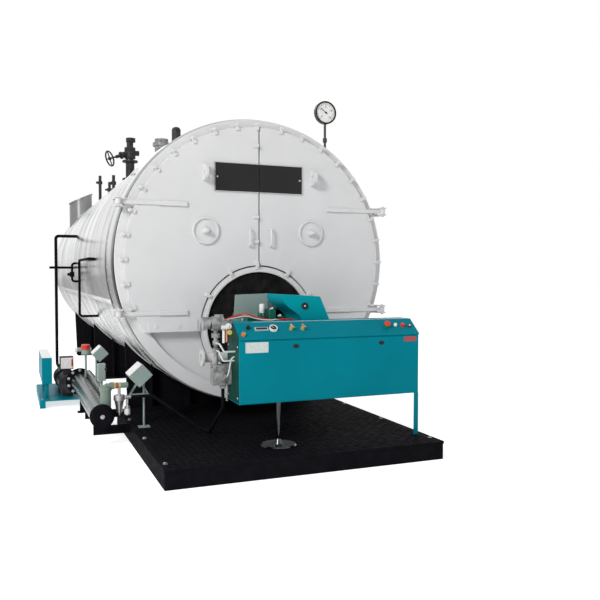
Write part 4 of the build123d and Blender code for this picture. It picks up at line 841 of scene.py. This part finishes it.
class BOILER_OT_burner_fittings(bpy.types.Operator):
    """Fit the sleeves of the oil valves, and the wiring and covers in the open burner"""

    bl_idname = "boiler.burner_fittings"
    bl_label = "Burner fittings"

    def execute(self, context):
        self.add_sleeves()
        self.add_covers()
        self.add_wiring()
        return {"FINISHED"}

    @staticmethod
    def add_sleeves():
        """Coloured sleeves and plugs below and in front of the switch box."""
        end = CABINET_LOW[0]
        low = STRIP_HIGH[2] - 0.049
        for name, finish, turned in (
            ("valve_sleeve_white", "white", (
                ((end - 0.062, -0.875, low - 0.115), (0, 0, 1), 0.012, 0.115),
                ((end - 0.09, -0.905, low + 0.012), (1, 0, 0), 0.016, 0.06),
                ((end - 0.03, -0.9, low + 0.02), (0, -1, 0), 0.026, 0.012),
            )),
            ("valve_sleeve_copper", "copper", (
                ((end - 0.036, -0.875, low - 0.11), (0, 0, 1), 0.013, 0.11),
            )),
            ("valve_cap_yellow", "yellow", (
                ((end - 0.018, -0.89, low - 0.03), (0, -1, 0), 0.02, 0.016),
            )),
            ("valve_seals_dark", "dark", (
                ((end - 0.12, -0.85, 0.775), (0, 0, 1), 0.036, 0.014),
                ((end - 0.175, -0.85, 1.132), (1, 0, 0), 0.05, 0.012),
            )),
        ):
            bm = bmesh.new()
            for at, direction, radius, length in turned:
                edge = 0.12 * radius
                profile = [(0, 0), (radius - edge, 0), (radius, edge), (radius, length - edge)]
                profile += [(radius - edge, length), (0, length)]
                add_turned(bm, at, direction, profile, 24)
            add_piece(name, bm, finish)

    @staticmethod
    def add_covers():
        """Green covers, terminals and the white igniter sleeve behind the strip."""
        floor = BURNER_FLOOR_Z
        green = bmesh.new()
        add_block(green, (-0.158, -0.713, floor + 0.012), (-0.097, -0.567, floor + 0.109), 0.004)
        add_block(green, (-0.35, -0.72, floor), (-0.285, -0.5, floor + 0.05), 0.004)
        plugs = ((-0.235, -0.7, 0.022, 0.085), (-0.08, -0.62, 0.026, 0.07), (-0.02, -0.66, 0.03, 0.05))
        for x, y, radius, height in plugs:
            profile = [(radius, 0), (radius, 0.7 * height), (0.6 * radius, height), (0, height)]
            add_turned(green, (x, y, floor), (0, 0, 1), profile, 20)
        add_piece("burner_covers", green, "green")
        white = bmesh.new()
        profile = [(0.0205, 0), (0.0225, 0.004), (0.0225, 0.074), (0.0205, 0.078), (0, 0.078)]
        add_turned(white, (-0.19, -0.62, floor + 0.075), (0, 0, 1), profile, 24)
        for k in range(6):
            y = -0.705 + 0.036 * k
            add_block(white, (-0.333, y, floor + 0.05), (-0.302, y + 0.024, floor + 0.064), 0.002)
        pin = [(0.009, 0), (0.009, 0.03), (0, 0.03)]
        for x, y, z in ((-0.127, -0.66, 0.118), (-0.07, -0.7, 0.06), (-0.235, -0.7, 0.09)):
            add_turned(white, (x, y, floor + z - 0.01), (0.3, -1, 0.4), pin, 12)
        add_piece("burner_terminals", white, "white")

    @staticmethod
    def add_wiring():
        """Wires from the switch box over the burner to the hood."""
        start, floor = CABINET_LOW[0] - 0.03, BURNER_FLOOR_Z
        for name, finish, radius, y, rise, end_x in (
            ("wire_red", "red", 0.006, -0.735, 0.07, 0.09),
            ("wire_orange", "orange", 0.005, -0.72, 0.055, 0.07),
            ("wire_brown", "copper", 0.006, -0.7, 0.04, 0.1),
            ("wire_white", "white", 0.005, -0.75, 0.05, -0.05),
        ):
            points = [(start, y - 0.06, floor + 0.034), (start + 0.1, y - 0.03, floor + rise)]
            points += [(start + 0.2, y, floor + rise + 0.012), (start + 0.3, y + 0.01, floor + 0.6 * rise)]
            points += [(start + 0.42, y, floor + 0.018), (end_x - 0.06, y, floor + 0.03)]
            points.append((end_x, y + 0.03, floor + 0.012))
            add_pipe(name, points, radius, finish)
        end = CABINET_LOW[0] - END_PLATE
        hose = [(end, -0.965, 0.872), (end - 0.022, -0.965, 0.866), (end - 0.03, -0.955, 0.82)]
        hose += [(end - 0.034, -0.94, 0.76), (end - 0.046, -0.93, 0.715), (end - 0.052, -0.885, 0.7)]
        add_pipe("valve_hose", hose, 0.0065, "hose_white")


class BOILER_OT_sheet_work(bpy.types.Operator):
    """Lay the wear plates over the saddles and the strips over the casing's lengthwise joints"""

    bl_idname = "boiler.sheet_work"
    bl_label = "Sheet work"

    def execute(self, context):
        plates = bmesh.new()
        saddle_low, saddle_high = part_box("saddles")
        middle = (saddle_low[1] + saddle_high[1]) / 2
        radii = (CASING_R, CASING_R + 0.009)
        for y in (saddle_low[1] + 0.16, middle, saddle_high[1] - 0.16):
            self.add_arc(plates, radii, (y - 0.14, y + 0.14), SADDLE_ANGLES, 30)
        add_piece("saddle_sheets", plates, "pale_steel")
        strips, rivets = bmesh.new(), bmesh.new()
        y = (BAND_HIGH[1] + 0.02, DRUM_HIGH[1] - 0.05)
        count = int((y[1] - y[0]) / JOINT_RIVET_PITCH)
        strip_r = CASING_R + 0.003
        for side in (-1, 1):
            angle = side * JOINT_ANGLE
            self.add_arc(strips, (CASING_R, strip_r), y, (angle - 0.018, angle + 0.018), 2)
            outward = Vector((sin(angle), 0, cos(angle)))
            for k in range(count):
                at = clock(angle, strip_r, y[0] + (k + 0.5) * JOINT_RIVET_PITCH)
                add_rivet(rivets, at, outward, 0.009)
        add_piece("casing_joint_strips", strips, "pale_steel")
        add_piece("casing_joint_rivets", rivets, "bare_steel")
        return {"FINISHED"}

    @staticmethod
    def add_arc(bm, radii, y, angles, steps):
        """Curved sheet round the drum, between two radii, two values of Y and two clock angles."""
        corners = [(radii[0], y[0]), (radii[1], y[0]), (radii[1], y[1]), (radii[0], y[1])]
        sections = []
        for k in range(steps + 1):
            angle = angles[0] + (angles[1] - angles[0]) * k / steps
            sections.append([bm.verts.new(clock(angle, radius, along)) for radius, along in corners])
        for one, two in zip(sections, sections[1:]):
            for k in range(4):
                j = (k + 1) % 4
                bm.faces.new([one[k], one[j], two[j], two[k]])
        bm.faces.new(sections[0])
        bm.faces.new(sections[-1][::-1])
        bmesh.ops.recalc_face_normals(bm, faces=bm.faces)


class BOILER_OT_tube_ends(bpy.types.Operator):
    """Darken the bores of the fire tubes behind the doors: soot, with painted shade for the tubes' depth"""

    bl_idname = "boiler.tube_ends"
    bl_label = "Tube ends"

    def execute(self, context):
        plate = frame["nodes"]["front_tube_plate"]
        ends_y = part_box("front_tube_plate")[0][1]
        middles = set()
        for vertex in plate.data.vertices:
            at = plate.matrix_world @ vertex.co
            if abs(at.y - ends_y) < 0.001:
                column, row = round(2 * at.x / TUBE_PITCH), round((at.z - AXIS_Z) / TUBE_PITCH)
                middles.add((column * TUBE_PITCH / 2, AXIS_Z + row * TUBE_PITCH))
        if not middles:
            raise RuntimeError("The tube plate shows no tube ends.")
        bm = bmesh.new()
        # Dark plugs in the bores: soot, and painted shade where the open tubes would be deep and dark
        profile = [(TUBE_BORE_R - 0.0004, 0.012), (TUBE_BORE_R - 0.0008, 0.003), (0.026, 0.0012), (0, 0.0012)]
        for x, z in sorted(middles):
            add_turned(bm, (x, ends_y + TUBE_PROUD, z), (0, -1, 0), profile, 20)
        add_piece("tube_soot_and_shade", bm, "soot")
        return {"FINISHED"}


class BOILER_OT_oil_gear(bpy.types.Operator):
    """Fit the pale lids, caps, rings and bolts of the oil gear beside the platform; the lids are also a
    painted highlight on the lit sides
    """

    bl_idname = "boiler.oil_gear"
    bl_label = "Oil gear"

    def execute(self, context):
        self.add_highlight_lids()
        self.add_caps()
        self.add_flange_bolts()
        return {"FINISHED"}

    @staticmethod
    def add_highlight_lids():
        """Pale lids on the upper sides of the instrument and terminal boxes, white as a painted highlight of
        the sides that face the lamp.
        """
        lids, screws = bmesh.new(), bmesh.new()
        inset = 0.006
        for at, (wide, deep, high) in TILTED_BOXES:
            place = Matrix.Translation(at) @ Matrix.Rotation(TILT, 4, "Y")
            side = -wide / 2
            near = (side - 0.004, inset - deep / 2, inset - high / 2)
            far = (side, deep / 2 - inset, high / 2 - inset)
            add_block(lids, near, far, 0.0015, place)
            for x in (-0.36, 0.36):
                for z in (-0.36, 0.36):
                    add_rivet(screws, place @ Vector((x * wide, -deep / 2, z * high)), (0, -1, 0), 0.006)
        low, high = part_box("pump_terminal_box")
        add_block(lids, (low[0], low[1], high[2]), (high[0], high[1], high[2] + 0.003), 0.001)
        add_block(lids, *DRIVE_PLATE, 0.001)
        add_piece("gear_lids_painted_highlight", lids, "white")
        add_piece("gear_screws", screws, "bare_steel")

    @staticmethod
    def add_caps():
        """Coloured caps and rings."""
        outlet_low, outlet_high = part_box("preheater_outlet")
        pipe_z, pipe_y = outlet_high[2] - 0.007 - 0.024, (outlet_low[1] + outlet_high[1]) / 2
        red, yellow, white, dark = bmesh.new(), bmesh.new(), bmesh.new(), bmesh.new()
        lid = [(0.047, 0), (0.047, 0.05), (0.038, 0.058), (0, 0.058)]
        cup = [(0, 0), (0.022, 0), (0.0255, 0.006), (0.0255, 0.05), (0, 0.05)]
        cone = [(0.024, 0), (0.024, 0.02), (0.015, 0.03), (0, 0.03)]
        button = [(0.012, 0), (0.012, 0.008), (0, 0.008)]
        ring = [(0, 0), (0.028, 0), (0.028, 0.01), (0, 0.01)]
        for bm, at, direction, profile, steps in (
            (red, (-1.415, 1.75, 0.69), (0, 0, 1), lid, 28),
            (white, (-1.23, 0, 0.288), (0, 0, 1), cup, 24),
            (white, (-1.505, 1.75, 0.6925), (-1, 0, 0), cone, 20),
            (dark, (-1.38, 0.262, 0.66), (0, -1, 0), button, 16),
        ):
            add_turned(bm, at, direction, profile, steps)
        add_block(red, (-1.52, 2.3765, 0.43), (-1.5035, 2.38, 0.52), 0.0005)
        for bm, x in ((yellow, -1.345), (red, -1.325), (yellow, -1.3)):
            add_turned(bm, (x, pipe_y, pipe_z), (1, 0, 0), ring, 24)
        add_piece("gear_caps_red", red, "red")
        add_piece("gear_rings_yellow", yellow, "yellow")
        add_piece("gear_caps_white", white, "white")
        add_piece("gear_caps_dark", dark, "dark")

    @staticmethod
    def add_flange_bolts():
        """Bolts of the preheater's rear flange and the pump's skid, and the plug in the front cap."""
        x, z = VESSEL_LOW[0] + VESSEL_R, VESSEL_LOW[2] + VESSEL_R
        cap_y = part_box("preheater_flanges")[0][1]
        bm = bmesh.new()
        for angle in turns(10, 0.5):
            at = (x + VESSEL_BOLTS_R * cos(angle), VESSEL_HIGH[1], z + VESSEL_BOLTS_R * sin(angle))
            add_bolt(bm, at, (0, -1, 0), 0.012)
        add_bolt(bm, (x, cap_y, z), (0, -1, 0), 0.014)
        low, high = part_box("pump_skid")
        for x in (low[0] + 0.03, high[0] - 0.03):
            for y in (low[1] + 0.08, high[1] - 0.08):
                add_bolt(bm, (x, y, high[2]), (0, 0, 1), 0.01)
        add_piece("gear_bolts", bm, "bare_steel")


class BOILER_OT_flange_bolts(bpy.types.Operator):
    """Bolt the flanges of the crown stub and the steam valve, and the edges of the deck"""

    bl_idname = "boiler.flange_bolts"
    bl_label = "Flange bolts"

    def execute(self, context):
        bm = bmesh.new()
        low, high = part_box("crown_nozzle")
        middle = Vector(((low[0] + high[0]) / 2, (low[1] + high[1]) / 2, high[2] - 0.06))
        reach = (high[0] - low[0]) / 2 - 0.015
        for angle in turns(FLANGE_BOLTS):
            add_bolt(bm, middle + Vector((cos(angle), sin(angle), 0)) * reach, (0, 0, 1), 0.009)
        for x in (DECK_LOW[0], DECK_HIGH[0]):
            inward = 1 if x < 0 else -1
            for y in (-1.25, -0.4, 0.4, 0.85):
                add_bolt(bm, (x + inward * 0.04, y, DECK_HIGH[2]), (0, 0, 1), 0.014)
        for z in VALVE_FLANGES_Z:
            for angle in turns(FLANGE_BOLTS, 0.5):
                x, y = VALVE_AT[0] + VALVE_BOLTS_R * cos(angle), VALVE_AT[1] + VALVE_BOLTS_R * sin(angle)
                add_bolt(bm, (x, y, z), (0, 0, 1), 0.01)
        add_piece("flange_bolts", bm, "bare_steel")
        return {"FINISHED"}


class BOILER_OT_stage(bpy.types.Operator):
    """Set the floor, the lamps, the surroundings and the camera"""

    bl_idname = "boiler.stage"
    bl_label = "Stage"

    def execute(self, context):
        scene = context.scene
        scene.view_settings.view_transform = "Standard"
        self.make_floor(scene)
        self.make_world(scene)
        self.make_lamps(scene)
        self.make_camera(scene)
        return {"FINISHED"}

    @staticmethod
    def make_floor(scene):
        """Pale floor that keeps the boiler's shadow, and glows half as much to all but the camera."""
        material, tree, shader = start_finish("Pale floor", tuple(scene.boiler_stage.floor), 0, 0.9, 0.1)
        out = tree.nodes["Material Output"]
        path = add_node(tree, "LightPath")
        seen = add_node(tree, "Math", {1: 0.5}, operation="MAXIMUM")
        glow = add_node(tree, "Emission", {"Strength": 0.68})
        add = add_node(tree, "AddShader")
        mix = add_node(tree, "MixShader")
        join(
            tree,
            (path, "Is Camera Ray", seen, 0),
            (shader, "BSDF", add, 0),
            (glow, "Emission", add, 1),
            (seen, "Value", mix, "Fac"),
            (shader, "BSDF", mix, 1),
            (add, "Shader", mix, 2),
            (mix, "Shader", out, "Surface"),
        )
        bm = bmesh.new()
        bmesh.ops.create_grid(bm, x_segments=1, y_segments=1, size=60)
        mesh = bpy.data.meshes.new("floor")
        bm.to_mesh(mesh)
        bm.free()
        floor = bpy.data.objects.new("floor", mesh)
        floor.location.z = -0.001
        scene.collection.objects.link(floor)
        mesh.materials.append(material)

    @staticmethod
    def make_world(scene):
        """White to the eye, plain light to the boiler."""
        world = bpy.data.worlds.new("Surroundings")
        world.use_nodes = True
        tree = world.node_tree
        plain = tree.nodes["Background"]
        set_inputs(plain, {"Color": (1, 1, 1, 1), "Strength": scene.boiler_stage.world_strength})
        white = add_node(tree, "Background", {"Color": (1, 1, 1, 1)})
        path = add_node(tree, "LightPath")
        either = add_node(tree, "Math", operation="MAXIMUM")
        any_ray = add_node(tree, "Math", operation="MAXIMUM")
        mix = add_node(tree, "MixShader")
        join(
            tree,
            (path, "Is Camera Ray", either, 0),
            (path, "Is Glossy Ray", either, 1),
            (either, "Value", any_ray, 0),
            (path, "Is Transmission Ray", any_ray, 1),
            (any_ray, "Value", mix, "Fac"),
            (plain, "Background", mix, 1),
            (white, "Background", mix, 2),
            (mix, "Shader", tree.nodes["World Output"], "Surface"),
        )
        scene.world = world

    @staticmethod
    def make_lamps(scene):
        """A soft key lamp at the front left, and a weaker one from the right."""
        power = scene.boiler_stage.key_power
        aim = Vector((0, 2, 1.3))
        for name, at, size, share in (
            ("key_lamp", (-8.5, -7, 6.5), 3, 1.0),
            ("side_lamp", (8, -3, 5), 5, 0.08),
            ("top_lamp", (-3, 6, 9), 6, 0.5),
        ):
            light = bpy.data.lights.new(name, "AREA")
            light.size = size
            light.energy = power * share
            lamp = bpy.data.objects.new(name, light)
            lamp.location = at
            lamp.rotation_euler = (aim - Vector(at)).to_track_quat("-Z", "Y").to_euler()
            scene.collection.objects.link(lamp)

    @staticmethod
    def make_camera(scene):
        """The photograph's view."""
        flat = cos(CAMERA_PITCH)
        forward = Vector((sin(CAMERA_YAW) * flat, cos(CAMERA_YAW) * flat, sin(CAMERA_PITCH)))
        level = forward.cross(Vector((0, 0, 1))).normalized()
        upright = level.cross(forward)
        right = cos(CAMERA_ROLL) * level + sin(CAMERA_ROLL) * upright
        up = -sin(CAMERA_ROLL) * level + cos(CAMERA_ROLL) * upright
        data = bpy.data.cameras.new("camera")
        data.lens = CAMERA_LENS
        data.clip_end = 200
        camera = bpy.data.objects.new("camera", data)
        turn = Matrix((right, up, -forward)).transposed().to_4x4()
        camera.matrix_world = Matrix.Translation(CAMERA_AT) @ turn
        scene.collection.objects.link(camera)
        scene.camera = camera


OPERATORS = (
    BOILER_OT_stage,
    BOILER_OT_finish_nodes,
    BOILER_OT_deck_tread,
    BOILER_OT_casing_fastenings,
    BOILER_OT_name_plate,
    BOILER_OT_gauge_dial,
    BOILER_OT_cabinet_trim,
    BOILER_OT_control_heads,
    BOILER_OT_burner_fittings,
    BOILER_OT_sheet_work,
    BOILER_OT_tube_ends,
    BOILER_OT_oil_gear,
    BOILER_OT_flange_bolts,
)


class BOILER_PT_tools(bpy.types.Panel):
    """Lists the boiler's pieces and their settings"""

    bl_label = "Boiler"
    bl_idname = "BOILER_PT_tools"
    bl_space_type = "VIEW_3D"
    bl_region_type = "UI"
    bl_category = "Boiler"

    def draw(self, context):
        scene = context.scene
        for group in (scene.boiler_paint, scene.boiler_fittings, scene.boiler_stage):
            for name in group.__annotations__:
                self.layout.prop(group, name)
        for operator in OPERATORS:
            self.layout.operator(operator.bl_idname)


CLASSES = (BoilerPaint, BoilerFittings, BoilerStage, *OPERATORS, BOILER_PT_tools)


def register():
    for cls in CLASSES:
        bpy.utils.register_class(cls)
    bpy.types.Scene.boiler_paint = PointerProperty(type=BoilerPaint)
    bpy.types.Scene.boiler_fittings = PointerProperty(type=BoilerFittings)
    bpy.types.Scene.boiler_stage = PointerProperty(type=BoilerStage)


def unregister():
    del bpy.types.Scene.boiler_stage
    del bpy.types.Scene.boiler_fittings
    del bpy.types.Scene.boiler_paint
    for cls in reversed(CLASSES):
        bpy.utils.unregister_class(cls)


def main():
    """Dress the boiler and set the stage."""
    register()
    bpy.ops.boiler.stage()
    bpy.ops.boiler.finish_nodes()
    bpy.ops.boiler.deck_tread()
    bpy.ops.boiler.casing_fastenings()
    bpy.ops.boiler.name_plate()
    bpy.ops.boiler.gauge_dial()
    bpy.ops.boiler.cabinet_trim()
    bpy.ops.boiler.control_heads()
    bpy.ops.boiler.burner_fittings()
    bpy.ops.boiler.sheet_work()
    bpy.ops.boiler.tube_ends()
    bpy.ops.boiler.oil_gear()
    bpy.ops.boiler.flange_bolts()


if __name__ == "__main__":
    main()
